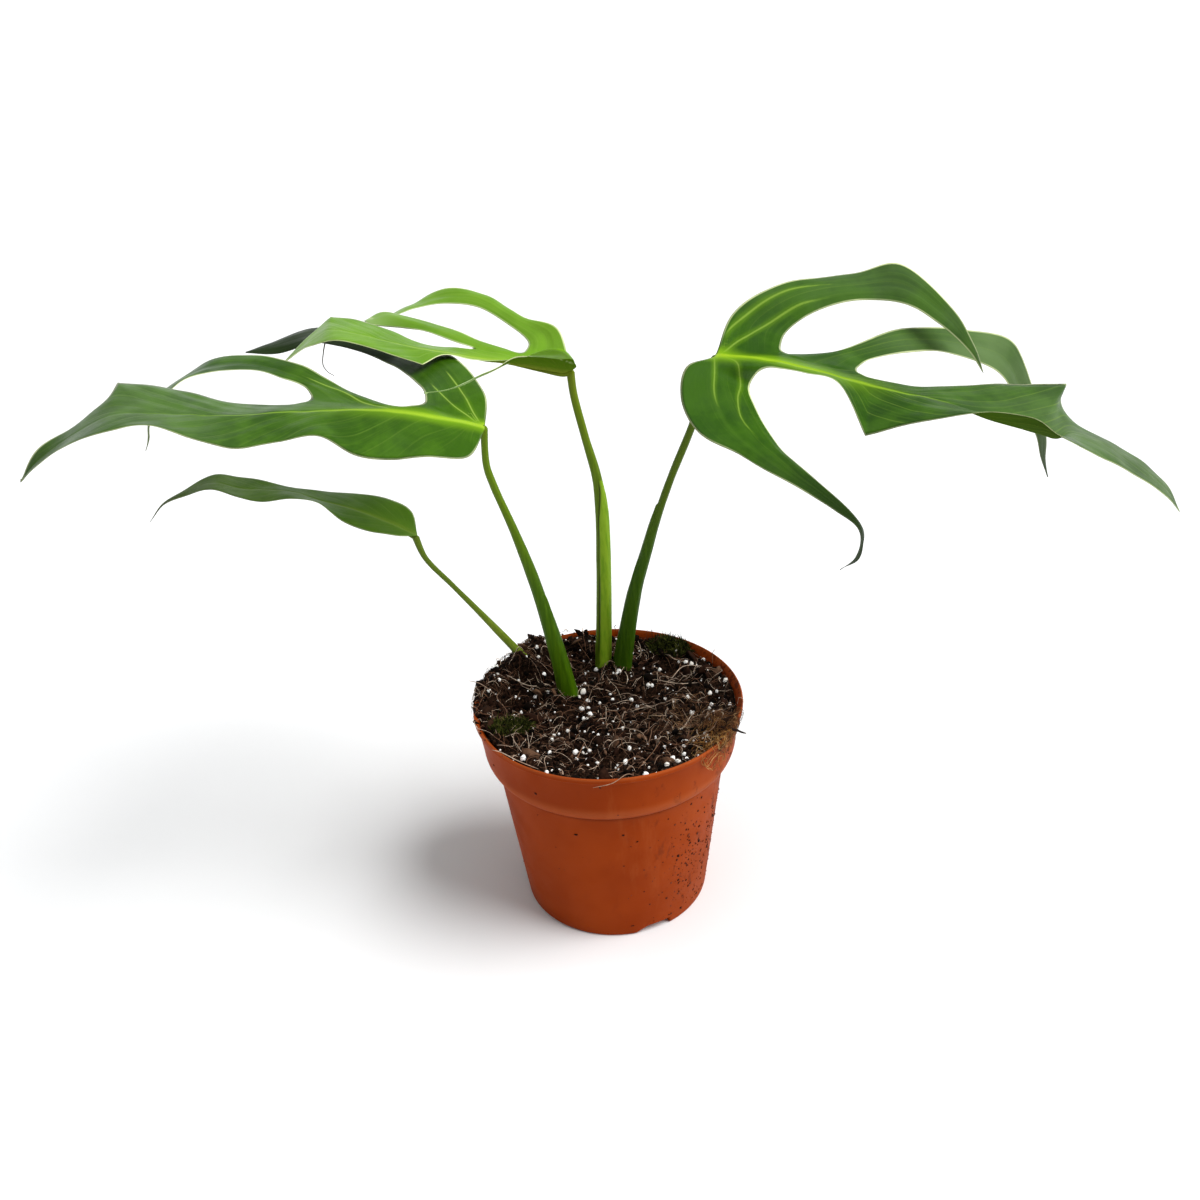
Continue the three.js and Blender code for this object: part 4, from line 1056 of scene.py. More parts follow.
def notch_share(turn, widening):
    """1 in the middle of a drain notch and 0 away from it, by bearing round the pot. One side
    of a notch is a long slope and the other is steep."""
    pitch = 2 * math.pi / NOTCH_COUNT
    away = (turn - NOTCH_BEARING + pitch / 2) % pitch - pitch / 2
    half = (NOTCH_WIDTH / 2 + widening) / BASE_RADIUS
    slope = smooth_step(away, -half - 0.012, -half + NOTCH_SLOPE / BASE_RADIUS)
    return slope * (1 - smooth_step(away, half - 0.012, half + 0.012))


def pot_columns():
    """Bearings of the pot's columns: even ones, and closer ones at the notches' sides."""
    turns = [bearings(POT_COLUMNS)]
    half = NOTCH_WIDTH / 2 / BASE_RADIUS
    for notch in range(NOTCH_COUNT):
        middle = NOTCH_BEARING + notch * 2 * math.pi / NOTCH_COUNT
        for side in (-half, half):
            turns.append(middle + side + np.linspace(-0.016, 0.056, 13) * np.sign(side))
    turns = np.sort(np.concatenate(turns) % (2 * math.pi))
    apart = np.diff(turns, append=turns[0] + 2 * math.pi) > 0.0012
    return turns[apart]


def make_pot(settings):
    """The pot: its outline turned round the axis. In a notch, points of the foot lower than the
    notch's roof rise to it, and the floor above rises by the same, so the wall stays whole."""
    profile, inner_start = pot_profile(settings.wall)
    turns = pot_columns()
    radius, height = profile[:, 0][:, None], profile[:, 1][:, None]
    inner = (np.arange(len(profile)) >= inner_start)[:, None]
    roof = np.where(inner, NOTCH_HEIGHT + settings.wall, NOTCH_HEIGHT)
    start = np.where(inner, NOTCH_INNER_RADIUS - settings.wall, NOTCH_INNER_RADIUS)
    share = np.where(inner, notch_share(turns, settings.wall)[None], notch_share(turns, 0)[None])
    lift = np.where((radius > start) & (height < roof), (roof - height) * share, 0)
    rings = round_axis(radius, turns, height + lift)[1:-1]
    points = np.concatenate([rings.reshape(-1, 3), [[0, 0, 0], [0, 0, settings.wall]]])
    quads, ends = closed_rings(len(rings), len(turns))
    pot = piece("pot_shell", points, quads.tolist() + ends.tolist(), [pot_material(settings)])
    drill_drains(pot, settings.wall)
    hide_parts("pot")


def drill_drains(pot, wall):
    """Cuts the round drain holes through the pot's floor."""
    turns = NOTCH_BEARING + (np.arange(DRAIN_HOLES) + 0.5) * 2 * math.pi / DRAIN_HOLES
    middles = round_axis(DRAIN_CIRCLE_RADIUS, turns, 0)
    levels = np.linspace(-2 * wall, 3 * wall, 2)[None, :, None] * np.array([0, 0, 1.0])
    paths = middles[:, None] + levels
    radii = np.full(paths.shape[:2], DRAIN_HOLE_RADIUS)
    points, faces, _ = tubes(paths, radii, 32, (1, 0, 0))
    drills = piece("drain_drills", points, faces, [])
    cut = pot.modifiers.new("drains", "BOOLEAN")
    cut.operation, cut.solver, cut.object = "DIFFERENCE", "EXACT", drills
    bpy.context.view_layer.update()
    holed = bpy.data.meshes.new_from_object(
        pot.evaluated_get(bpy.context.evaluated_depsgraph_get())
    )
    pot.modifiers.clear()
    pot.data = holed
    pot.data.set_sharp_from_angle(angle=math.radians(40))
    bpy.data.objects.remove(drills)


def make_splashes(settings):
    """Dried crumbs of mix that stick to the pot's wall, most of them low on its right side."""
    rng = np.random.default_rng(31)
    clustered, spread_out = 350, 60
    near = rng.normal([-0.7, 0.031], [0.29, 0.018], (clustered, 2))
    other = [rng.uniform(-math.pi, math.pi, spread_out), rng.uniform(0.012, 0.095, spread_out)]
    bearing, height = np.concatenate([near.T, other], axis=1)
    height = np.clip(height, 0.006, 0.096)
    profile = pot_profile(settings.wall)[0]
    below_top = np.arange(len(profile)) < np.argmax(profile[:, 1])
    outer = profile[below_top & (profile[:, 0] > BASE_RADIUS)]
    radius = np.interp(height, outer[:, 1], outer[:, 0]) + 0.00005
    centres = round_axis(radius, bearing, height)
    size = rng.lognormal(math.log(0.0003), 0.5, (len(centres), 1))
    sizes = np.clip(size, 0.00012, 0.0008) * rng.uniform(0.5, 1.4, (len(centres), 3))
    points, faces, per = lumps(rng, centres, sizes, 0.3)
    out = unit(points * np.array([1, 1, 0]))
    offset = np.sum((points - np.repeat(centres, per, axis=0)) * out, axis=1, keepdims=True)
    shape = points - out * offset * 0.55, faces, per
    loose_bits("pot_splashes", shape, rng.uniform(0, 1, len(centres)), "potting_mix", "splash",
               [paint(42, 15, 8), paint(80, 32, 18), paint(116, 56, 36)])


# Potting mix

def soil_height(x, y):
    """Level of the mix: a slow ripple, heaps and hollows, and a rise up to the pot's rim that is
    higher on the left and behind."""
    x, y = x / MM, y / MM
    height = SOIL_LEVEL / MM + 0.9 * np.sin(0.21 * x + 0.6) * np.cos(0.17 * y - 0.4)
    for heap_x, heap_y, rise, spread in (*SOIL_HEAPS, *DEBRIS_HEAPS):
        height = height + rise * bell(np.hypot(x - heap_x, y - heap_y), spread)
    back_left = smooth_step(0.6 * y - x, 10, 45)
    height = height + smooth_step(np.hypot(x, y), 42, 55) * (2.4 + 2.6 * back_left)
    return height * MM


def soil_top(x, y):
    """The mix's rough top: its height plus three sizes of random lumps, calmer at the pot."""
    place = np.stack([x, y, np.zeros_like(x)], axis=-1)
    calm = 1 - 0.5 * smooth_step(np.hypot(x, y), 0.050, 0.0565)
    lumpy = 1.5 * rough(place, 0.0075) + 1.0 * rough(place, 0.003, 1) + 0.5 * rough(place, 0.0013, 2)
    return soil_height(x, y) + lumpy * calm * MM


def ground(x, y):
    """What loose bits lie on: the mix, or the pot's rim where that is higher."""
    lip = POT_HEIGHT * smooth_step(np.hypot(x, y), LIP_FOOT_RADIUS, LIP_TOP_RADIUS)
    return np.maximum(soil_top(x, y), lip)


def make_mix(settings):
    """The body of potting mix: a rough round top on a polar grid, and plain sides and bottom."""
    turns = bearings(MIX_COLUMNS)
    radii = MIX_RADIUS * np.linspace(0, 1, MIX_ROWS + 1)[1:, None]
    top = round_axis(radii, turns, 0)
    top[..., 2] = soil_top(top[..., 0], top[..., 1])
    wall = np.array([
        [body_radius(COLLAR_FOOT) + COLLAR_STEP - MIX_GAP, COLLAR_FOOT + SHOULDER_HEIGHT + 0.0004],
        [body_radius(COLLAR_FOOT) - MIX_GAP, COLLAR_FOOT + 0.0012],
        [BASE_RADIUS - MIX_GAP, 0.0057],
        [BASE_RADIUS - MIX_GAP - 0.0025, 0.0055],
    ])
    rings = np.concatenate([top, round_axis(wall[:, :1], turns, wall[:, 1:])])
    middle = np.zeros(1)
    poles = [[0, 0, soil_top(middle, middle)[0]], [0, 0, wall[-1, 1]]]
    quads, ends = closed_rings(len(rings), len(turns), upward=False)
    mix = piece("potting_mix_body", np.concatenate([rings.reshape(-1, 3), poles]),
                quads.tolist() + ends.tolist(), [soil_material(settings)])
    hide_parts("potting_mix")


def scattered(rng, count, reach=LOOSE_RADIUS, on_lip=0.14):
    """Random places on the mix, even by area, and a share on top of them along the rim at the
    back left, where the mix spills over the lip."""
    spilt = int(count * on_lip)
    radius = np.concatenate([reach * np.sqrt(rng.uniform(0, 1, count)),
                             rng.uniform(SPILL_INNER_RADIUS, SPILL_OUTER_RADIUS, spilt)])
    turn = np.concatenate([rng.uniform(0, 2 * math.pi, count),
                           rng.normal(SPILL_BEARING, SPILL_SPREAD, spilt)])
    return radius * np.cos(turn), radius * np.sin(turn)


def clear_of_stalks(x, y, room=0.0005):
    """True for the places that are farther from each petiole than its own radius and room."""
    free = np.ones(len(x), bool)
    for route in PETIOLE_ROUTES.values():
        foot = metres(route)[1]
        free &= np.hypot(x - foot[0], y - foot[1]) > foot[3] + room
    return free


def make_crumbs(settings):
    """Loose crumbs: angular lumps half sunk in the mix, and flat bark chips among them."""
    rng = np.random.default_rng(5)
    for name, count, size, flat, colours in (
        ("soil_crumbs", settings.crumbs, 0.0007, (1.0, 1.0, 0.8),
         [paint(7, 4, 3), paint(18, 11, 7), paint(46, 29, 20), paint(122, 92, 72)]),
        ("bark_chips", settings.chips, 0.0017, (1.5, 0.8, 0.3),
         [paint(16, 9, 7), paint(48, 29, 20), paint(124, 92, 70)]),
    ):
        x, y = scattered(rng, count)
        keep = clear_of_stalks(x, y, -0.0008)
        x, y = x[keep], y[keep]
        size = np.clip(rng.lognormal(math.log(size), 0.42, (len(x), 1)), 0.0003, 0.0032)
        z = ground(x, y) + size[:, 0] * rng.uniform(-0.1, 0.6, len(x))
        sizes = size * np.array(flat) * rng.uniform(0.65, 1.25, (len(x), 3))
        shape = lumps(rng, np.stack([x, y, z], -1), sizes, 0.32)
        loose_bits(name, shape, rng.beta(1.3, 2.2, len(x)), "potting_mix", name, colours)


def make_perlite(settings):
    """White expanded grains: the larger ones where they show most, and small ones at random."""
    rng = np.random.default_rng(9)
    large = np.array(PERLITE_GRAINS, float)
    x, y = scattered(rng, settings.grains, on_lip=0)
    small = np.clip(rng.lognormal(math.log(0.45), 0.4, settings.grains), 0.25, 1.0)
    grains = np.concatenate([large, np.stack([x / MM, y / MM, small], -1)]) * MM
    grains = grains[clear_of_stalks(grains[:, 0], grains[:, 1])]
    x, y, size = grains.T
    z = ground(x, y) + size * rng.uniform(0.45, 0.95, len(x))
    sizes = size[:, None] * rng.uniform(0.8, 1.15, (len(x), 3))
    shape = lumps(rng, np.stack([x, y, z], -1), sizes, 0.2, 4, 7)
    # The glow is painted light that lifts the grains out of the mix's shade.
    loose_bits("perlite_grains", shape, rng.uniform(0, 1, len(x)), "potting_mix", "perlite",
               [paint(255, 254, 251), paint(248, 246, 240), paint(226, 219, 206)],
               roughness=0.8, grain=900.0, contrast=0.12, glow=0.22)


FIBRE_COLOURS = [paint(22, 12, 8), paint(62, 36, 24), paint(142, 104, 80), paint(236, 212, 188)]


def swaying(rng, count, share, turn, sway, waves):
    """Changes of heading along many paths: a steady turn, and a sway with its own waves."""
    steady = rng.normal(0, turn, (count, 1)) * share
    return steady + rng.normal(0, sway, (count, 1)) * np.sin(share * rng.uniform(*waves, (count, 1)))


def walked(start_x, start_y, heading, pace):
    """Level paths that take one step of the pace along each heading."""
    return (start_x + np.cumsum(np.cos(heading) * pace, axis=1),
            start_y + np.cumsum(np.sin(heading) * pace, axis=1))


def make_fibres(settings):
    """Loose coconut fibres: each heads off at random, bends at its own rate, and lies on the mix
    with its middle lifted by a low arch."""
    rng = np.random.default_rng(13)
    x, y = scattered(rng, settings.fibres, 0.055)
    count, steps = len(x), 12
    long = np.clip(rng.lognormal(math.log(0.0075), 0.5, count), 0.003, 0.024)
    share = np.linspace(0, 1, steps)
    bend = swaying(rng, count, share, 0.8, 0.4, (3, 9))
    heading = rng.uniform(0, 2 * math.pi, (count, 1)) + bend
    way_x, way_y = walked(x[:, None], y[:, None], heading, long[:, None] / (steps - 1))
    limit = np.where(np.hypot(x, y) > SPILL_INNER_RADIUS, SPILT_RADIUS, LOOSE_RADIUS)[:, None]
    shrink = np.minimum(1, limit / np.maximum(np.hypot(way_x, way_y), 1e-6))
    way_x, way_y = way_x * shrink, way_y * shrink
    arch = np.sin(math.pi * share) * rng.gamma(2.0, 0.0005, (count, 1))
    tail = rng.uniform(-0.0004, 0.0010, (count, 1)) * share
    lift = np.clip(soil_height(way_x, way_y) - soil_top(way_x, way_y), 0, 0.002) * 0.45
    way_z = ground(way_x, way_y) + lift + 0.0004 + arch + tail
    paths = np.stack([way_x, way_y, way_z], axis=-1)
    thick = np.clip(rng.lognormal(math.log(0.00009), 0.35, (count, 1)), 0.00005, 0.00022)
    loose_bits("coir_fibres", tubes(paths, thick * spindle(share, 0.75)),
               rng.beta(0.7, 0.9, count), "coir", "fibre", FIBRE_COLOURS, roughness=0.7)


def make_long_fibres():
    """The fibres that stand out, each a smooth curve through its own points."""
    steps = 40
    paths = []
    for route in LOOSE_FIBRES:
        points = metres(route)
        points[:, 2] += soil_height(*np.clip(points[:, :2], -0.055, 0.055).T)
        paths.append(smooth_route(points, steps))
    radii = 0.00017 * spindle(np.linspace(0, 1, steps), 0.7, 4)
    radii = np.repeat(radii[None], len(paths), axis=0)
    loose_bits("long_coir_fibres", tubes(np.array(paths), radii, 6),
               np.linspace(0.55, 1, len(paths)), "coir", "long_fibre", FIBRE_COLOURS, roughness=0.7)


# Moss and coir tuft

def make_moss(node, middle, radii, bearing, seed):
    """A moss cushion: a low lumpy mound with many small upright leaflets.

    The mound is half a ball of these radii with random lumps. A leaflet is a thin closed
    spindle that leans outward from its foot on the mound.
    """
    rng = np.random.default_rng(seed)
    count, steps = 1500, 4
    turn = rng.uniform(0, 2 * math.pi, count)
    out = np.sqrt(rng.uniform(0, 1, count))
    flat = np.stack([out * np.cos(turn) * radii[0], out * np.sin(turn) * radii[1]], -1)
    spin = np.array([[math.cos(bearing), math.sin(bearing)], [-math.sin(bearing), math.cos(bearing)]])
    spot = flat @ spin
    x, y = spot[:, 0] + middle[0], spot[:, 1] + middle[1]
    inside = np.hypot(x, y) < MOSS_RADIUS
    x, y, out, spot = x[inside], y[inside], out[inside], spot[inside]
    place = np.stack([x, y, np.zeros_like(x)], -1)
    mound = np.sqrt(np.clip(1 - out**2, 0, 1)) * radii[2] * 0.5 * (1 + 0.6 * rough(place, 0.004, 5))
    foot = np.stack([x, y, soil_top(x, y) + mound - 0.0005], -1)
    lean = np.concatenate([spot * 60, np.ones((len(x), 1))], -1) + rng.normal(0, 0.55, (len(x), 3))
    lean[:, 2] = np.abs(lean[:, 2]) + 0.15
    tall = rng.uniform(0.0010, 0.0026, (len(x), 1, 1))
    share = np.linspace(0, 1, steps)[None, :, None]
    curl = rng.normal(0, 0.5, (len(x), 1, 3)) * share**2
    paths = foot[:, None] + (unit(lean)[:, None] + curl) * tall * share
    widths = rng.uniform(0.00016, 0.00036, (len(x), 1)) * np.array([0.5, 1.0, 0.8, 0.15])
    loose_bits(f"{node}_leaflets", tubes(paths, widths), rng.beta(1.4, 1.6, len(x)), "moss", node,
               [paint(20, 22, 9), paint(42, 48, 16), paint(76, 82, 32), paint(112, 108, 56)],
               replaced=node, roughness=0.8)


def rim_tangle(rng, count, middle, spread, limit, tall):
    """Paths of thin fibres: each wanders in a flat dome, no farther from its middle than the
    limit, and hangs down outside the pot's rim where it crosses it."""
    share = np.linspace(0, 1, 14)
    spot = rng.normal(0, 1, (count, 2)) * np.array(spread)
    heading = rng.uniform(0, 2 * math.pi, (count, 1)) + swaying(rng, count, share, 2.2, 0.6, (4, 11))
    pace = np.clip(rng.lognormal(math.log(0.009), 0.4, (count, 1)), 0.003, 0.02) / len(share)
    x, y = walked(middle[0] + spot[:, :1], middle[1] + spot[:, 1:], heading, pace)
    away = np.hypot((x - middle[0]) / limit[0], (y - middle[1]) / limit[1])
    x = middle[0] + (x - middle[0]) / np.maximum(1, away)
    y = middle[1] + (y - middle[1]) / np.maximum(1, away)
    radius = np.hypot(x, y)
    level = rng.uniform(0.0, 1.0, (count, 1))
    drop = np.maximum(radius - RIM_RADIUS - 0.0003, 0)
    hug = RIM_RADIUS + 0.0003 + 0.0009 * level - LIP * smooth_step(drop, 0.0015, 0.0045)
    dome = tall * np.sqrt(np.clip(1 - np.minimum(away, 1) ** 2, 0, 1)) * bell(drop, 0.002)
    x, y = x * np.minimum(1, hug / radius), y * np.minimum(1, hug / radius)
    z = ground(x, y) + 0.0004 + dome * level - drop + 0.0005 * np.sin(share * 7 + level * 9)
    return np.stack([x, y, z], axis=-1)


def make_coir_tuft():
    """A tangle of thin brown fibres on the rim, golden strays in front of it and pale wisps
    that lie loose on the mix behind it."""
    rng = np.random.default_rng(77)
    low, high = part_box("coir_tuft")
    middle = np.array(low + high) / 2
    brown = [paint(36, 21, 12), paint(86, 54, 32), paint(132, 92, 58), paint(198, 160, 112)]
    golden = [paint(92, 56, 26), paint(150, 100, 48), paint(196, 148, 84), paint(230, 196, 140)]
    tan = [paint(66, 38, 22), paint(124, 86, 58), paint(172, 134, 98), paint(220, 192, 156)]
    tangles = {
        "tuft": (300, middle, (0.0042, 0.0052), (0.0125, 0.0145), 0.003, brown),
        "strays": (150, middle - (0.0035, 0.0085, 0), (0.0055, 0.006), (0.015, 0.016), 0.002,
                   golden),
        "wisps": (150, middle + (-0.0135, 0.0165, 0), (0.008, 0.0075), (0.02, 0.019), 0.0014,
                  tan),
    }
    for name, (count, centre, spread, limit, tall, colours) in tangles.items():
        paths = rim_tangle(rng, count, centre, spread, limit, tall)
        taper = spindle(np.linspace(0, 1, paths.shape[1]), 0.7)
        shape = tubes(paths, rng.uniform(0.00005, 0.00012, (count, 1)) * taper)
        loose_bits(f"coir_{name}_fibres", shape, rng.beta(1.5, 1.7, count), "coir", name, colours,
                   replaced="coir_tuft" if name == "tuft" else None, roughness=0.75)


def make_splinter():
    """A dark splinter of bark in the tuft that points out over the rim."""
    route = metres([[47, -28, 102.6], [50.5, -30, 103.1], [54, -32, 103.1], [57.5, -34, 102.6]])
    steps = 14
    radii = 0.00062 * np.sin(np.linspace(0.12, 0.97, steps) * math.pi) ** 0.5
    points, faces, per = tubes(smooth_route(route, steps)[None], radii[None], 7)
    shape = points + 0.00018 * rough(points, 0.0011)[:, None], faces, per
    loose_bits("bark_splinter", shape, [0.4], "coir", "splinter",
               [paint(30, 20, 18), paint(58, 40, 34)])


# Petioles

def sheath_flaps(name, turn, height):
    """By height and bearing: how far a stalk's sheath flaps raise its skin, and how much of a
    pale flap and of a slit is there.

    A flap reaches from the stalk's foot up to the sheath's end, where it stops in a small
    step. On the middle stalk it is pale and a thin dark slit runs down its edge.
    """
    raised, sheath, slit = np.zeros((3, len(height), len(turn)))
    for end, bearing, half, rise in SHEATH_ENDS[name]:
        past = (np.degrees(turn)[None] - bearing + 180) % 360 - 180
        tip = np.clip((end - height) / 0.022, 0, 1)
        narrow = half * (0.35 + 0.65 * smooth_step(tip, 0, 1))
        flap = 1 - smooth_step(np.abs(past), narrow - 9, narrow + 3)
        below = smooth_step(end - height, 0, 0.0011)
        raised += rise * flap * below * (0.75 + 0.25 * bell(end - height, 0.006))
        if name == "middle":
            sheath = np.maximum(sheath, flap * below)
            edge = bell(past + narrow + 4, 5)
            raised -= 0.0004 * edge * below
            open_stretch = smooth_step(rough(height * [0, 0, 1.0], 0.016, 3), -0.15, 0.25)[:, None]
            slit = np.maximum(slit, edge * below * open_stretch)
    return raised, sheath, slit


def make_petiole(name, look):
    """A stalk: rings round a smooth route, whose radius follows its own points. Past its last
    point it runs out in a short cone inside the blade."""
    route = metres(PETIOLE_ROUTES[name])
    apex = route[-1, :3] + unit(route[-1, :3] - route[-2, :3]) * 0.0009
    route = np.concatenate([route, np.append(apex, route[-1, 3] * 0.45)[None]])
    rings, sides = 230, 48
    at = np.linspace(0, len(route) - 1, rings)
    centres = curve_at(route[:, :3], knots_through(route[:, :3]), at)
    radius = np.interp(at, np.arange(len(route)), route[:, 3])[:, None]
    forward = unit(np.gradient(centres, axis=0))
    side = unit(np.array([1.0, 0, 0]) - forward * forward[:, :1])
    up = np.cross(forward, side)
    turn = bearings(sides)
    along = np.repeat(np.linspace(0, 1, rings), sides)
    raised, sheath, slit = sheath_flaps(name, turn, centres[:, 2:3])
    ridges = 0.00005 * np.sin(turn * 9 + 1.7 * np.sin(turn * 2))[None]
    wobble = 0.00012 * rough(centres, 0.009, 4)[:, None]
    ring = radius + raised + ridges + wobble
    points = (centres[:, None] + side[:, None] * (ring * np.cos(turn))[..., None]
              + up[:, None] * (ring * np.sin(turn))[..., None]).reshape(-1, 3)
    quads, ends = closed_rings(rings, sides)
    values = {"along": np.append(along, [0, 1]), "sheath": np.append(sheath, [0, 0]),
              "slit": np.append(slit, [0, 0])}
    stalk = piece(f"petiole_{name}_stalk", np.concatenate([points, centres[:1], centres[-1:]]),
                  quads.tolist() + ends.tolist(),
                  [petiole_material(f"petiole_{name}_skin", look)], values)
    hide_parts(f"petiole_{name}")


def make_keel(name, look):
    """The raised lower side of a midrib near its stalk: a tube that starts inside the stalk's
    end, bends under the blade and thins out along the midrib."""
    stalk = metres(PETIOLE_ROUTES[name])
    midrib = metres(BLADES[name][0]["ribs"])[:, 1]
    under = curve_at(midrib, knots_through(midrib), np.array([0.3, 1.0, 2.0]))
    under[:, 2] -= [0.0018, 0.0015, 0.0009]
    end, thick = stalk[-1, :3], stalk[-1, 3]
    inside = end - unit(end - stalk[-2, :3]) * 0.0025
    route = np.concatenate([inside[None], end[None], under])
    steps = 60
    radii = np.interp(np.linspace(0, len(route) - 1, steps), np.arange(len(route)),
                      [0.8 * thick, 0.9 * thick, 0.7 * thick, 0.0008, 0.0003])
    points, faces, per = tubes(smooth_route(route, steps)[None], radii[None], 14)
    values = {"along": np.full(per, 1.0), "sheath": np.zeros(per), "slit": np.zeros(per)}
    keel = piece(f"blade_{name}_keel", points, faces,
                 [petiole_material(f"blade_{name}_keel_skin", look)], values)


# Blades

# Rows of the grid for each rib of a blade and of a lobe, columns from midrib to margin, and
# how many ribs nearer the stalk a side vein leaves the midrib than it ends.
STEPS_ALONG = 14
LOBE_STEPS = 11
COLUMNS_PER_HALF = 14
BASE_SPREAD = 2.6

# Powers that crowd the columns toward the midrib and that bend the side veins.
COLUMN_POWER = 1.25
VEIN_POWER = 0.8

# How many ribs past a lobe's root the turn into the lobe fades, and how much farther along
# the leaf the lobe's end counts than its root.
TURN_FADE = 0.35
LOBE_ALONG = 0.55

# How soon an end takes on its tip's colour, where `dark` isn't given.
BLADE_DARK = 0.52
LOBE_DARK = 0.6


def lobe_roots(blade):
    """Each lobe with the rows of the main blade that it grows from, the last row first, and
    the points across its ribs."""
    roots = []
    for lobe in blade["lobes"]:
        root = np.arange(lobe["to"] * STEPS_ALONG, lobe["from"] * STEPS_ALONG - 1, -1)
        spread = across_rib(metres(lobe["ribs"]), np.linspace(-1, 1, len(root)))
        roots.append((lobe, root, spread))
    return roots


def arrival_at(edge, midrib, lobes):
    """Slopes at which the rows arrive at a margin: straight from the midrib, and turned half
    way into a lobe where there is one."""
    reach = edge - midrib
    wide = np.linalg.norm(reach, axis=1, keepdims=True)
    arrival = reach
    rows = np.arange(len(edge))
    for _, root, spread in lobes:
        onward = unit(spread[0] - edge[root])
        inside = np.clip(rows, root[-1], root[0])
        weight = bell(rows - inside, TURN_FADE * STEPS_ALONG)[:, None]
        turned = (reach + onward[root[0] - inside] * wide) / 2
        arrival = arrival * (1 - weight) + turned * weight
    return arrival


def lobe_sheet(lobe, foot, root_row, spread):
    """Points of a lobe past its root, and how many ribs out each row of them is. Smooth curves
    run from the midrib behind the root through the root and the points across each rib."""
    middle = len(root_row) // 2
    vein = np.concatenate([root_row[middle:middle + 1], metres(lobe["ribs"])[:, 1]])
    knots = knots_through(vein)
    knots = np.concatenate([[-knots[1]], knots])
    path = np.concatenate([foot[None], root_row[None], spread])
    out = np.arange(1, len(spread) * LOBE_STEPS + 1) / LOBE_STEPS
    return curve_at(path, knots, 1 + out), out


def blade_surface(blade):
    """Middle surface of a blade: points, quads and each point's place on the leaf.

    The main blade is a grid: along it the three points of each rib follow smooth curves, and
    across it a cubic leaves the midrib straight and arrives at the margin. A lobe is a grid
    whose first row is a stretch of that margin.
    Side veins leave the midrib before they reach the margin. A vein that ends at rib c starts
    BASE_SPREAD ribs nearer the stalk, or at the base, and at the share q of its way it lies at
    rib c - BASE_SPREAD (1 - q). `fan` is that c for each point.
    """
    ribs = metres(blade["ribs"])
    knots = knots_through(ribs[:, 1])
    rows = (len(ribs) - 1) * STEPS_ALONG + 1
    at = np.arange(rows) / STEPS_ALONG
    midrib = curve_at(ribs[:, 1], knots, at)
    lobes = lobe_roots(blade)
    edges, arrivals = [], []
    for place, side in ((0, "near"), (2, "far")):
        edges.append(curve_at(ribs[:, place], knots, at, blade["sharp"][side]))
        own_lobes = [root for root in lobes if root[0]["side"] == side]
        arrivals.append(arrival_at(edges[-1], midrib, own_lobes))

    half = np.linspace(0, 1, COLUMNS_PER_HALF + 1) ** COLUMN_POWER
    across = np.concatenate([-half[:0:-1], half])
    share = np.abs(across)
    near = across[None, :, None] < 0
    edge, arrival = (np.where(near, *np.array(pair)[:, :, None]) for pair in (edges, arrivals))
    main = hermite(midrib[:, None], edge - midrib[:, None], edge, arrival, share[None, :, None])
    grid = numbered(main)
    part_of_way = np.maximum(share, 0.02)[None] ** VEIN_POWER
    station = np.repeat(at[:, None], len(across), axis=1)
    along = station / (len(ribs) - 1)
    fan = station + BASE_SPREAD * (1 - part_of_way)
    fan = np.where(fan < BASE_SPREAD, station / part_of_way, fan)
    grids = [(grid, main, fan)]
    points, quads = [main.reshape(-1, 3)], [grid_quads(grid)]
    values = {
        "fan": [fan], "reach": [np.repeat(share[None], rows, axis=0)], "along": [along],
        "from_midrib": [np.linalg.norm(main - midrib[:, None], axis=-1) / MM],
        "tail": [blade.get("dark", BLADE_DARK) * station / (len(ribs) - 1)],
        "pale": [blade.get("pale", 0) * smooth_step(along, 0.45, 0.7)],
    }
    corners = []
    count = grid.size
    for lobe, root, spread in lobes:
        column = 0 if lobe["side"] == "near" else -1
        root_row = main[root, column]
        sheet, out = lobe_sheet(lobe, midrib[root], root_row, spread)
        index = np.concatenate([grid[root, column][None], numbered(sheet, count)])
        count += sheet[..., 0].size
        points.append(sheet.reshape(-1, 3))
        faces = grid_quads(index)
        quads.append(faces if lobe["side"] == "far" else faces[:, ::-1])
        share_out = np.repeat(out[:, None] / len(spread), len(root), axis=1)
        station = root / STEPS_ALONG + 0 * share_out
        for key, value in {
            "fan": station, "reach": 1 + share_out,
            "along": station / (len(ribs) - 1) + LOBE_ALONG * share_out,
            "from_midrib": np.linalg.norm(sheet - midrib[root][None], axis=-1) / MM,
            "tail": share_out * lobe.get("dark", LOBE_DARK),
            "pale": lobe.get("pale", 0) * smooth_step(share_out, 0.05, 0.45),
        }.items():
            values[key].append(value)
        grids.append((index, np.concatenate([root_row[None], sheet]),
                      np.concatenate([station[:1], station])))
        corners += [root_row[0], root_row[-1]]
    values = {key: np.concatenate([part.ravel() for part in parts]) for key, parts in values.items()}
    values["spacing"] = vein_spacing(grids, count)
    return np.concatenate(points), np.concatenate(quads), values, corners


def vein_spacing(grids, count):
    """Millimetres between neighbouring side veins at each point: one over the slope of `fan`,
    worked out along the rows and the columns of each grid."""
    spacing = np.zeros(count)
    for index, places, fan in grids:
        slopes = []
        for axis in (0, 1):
            apart = np.linalg.norm(np.gradient(places, axis=axis), axis=-1) / MM
            slopes.append(np.gradient(fan, axis=axis) / np.maximum(apart, 0.02))
        slope = np.hypot(*slopes)
        spacing[index] = 1 / np.maximum(slope, 0.02)
    return spacing


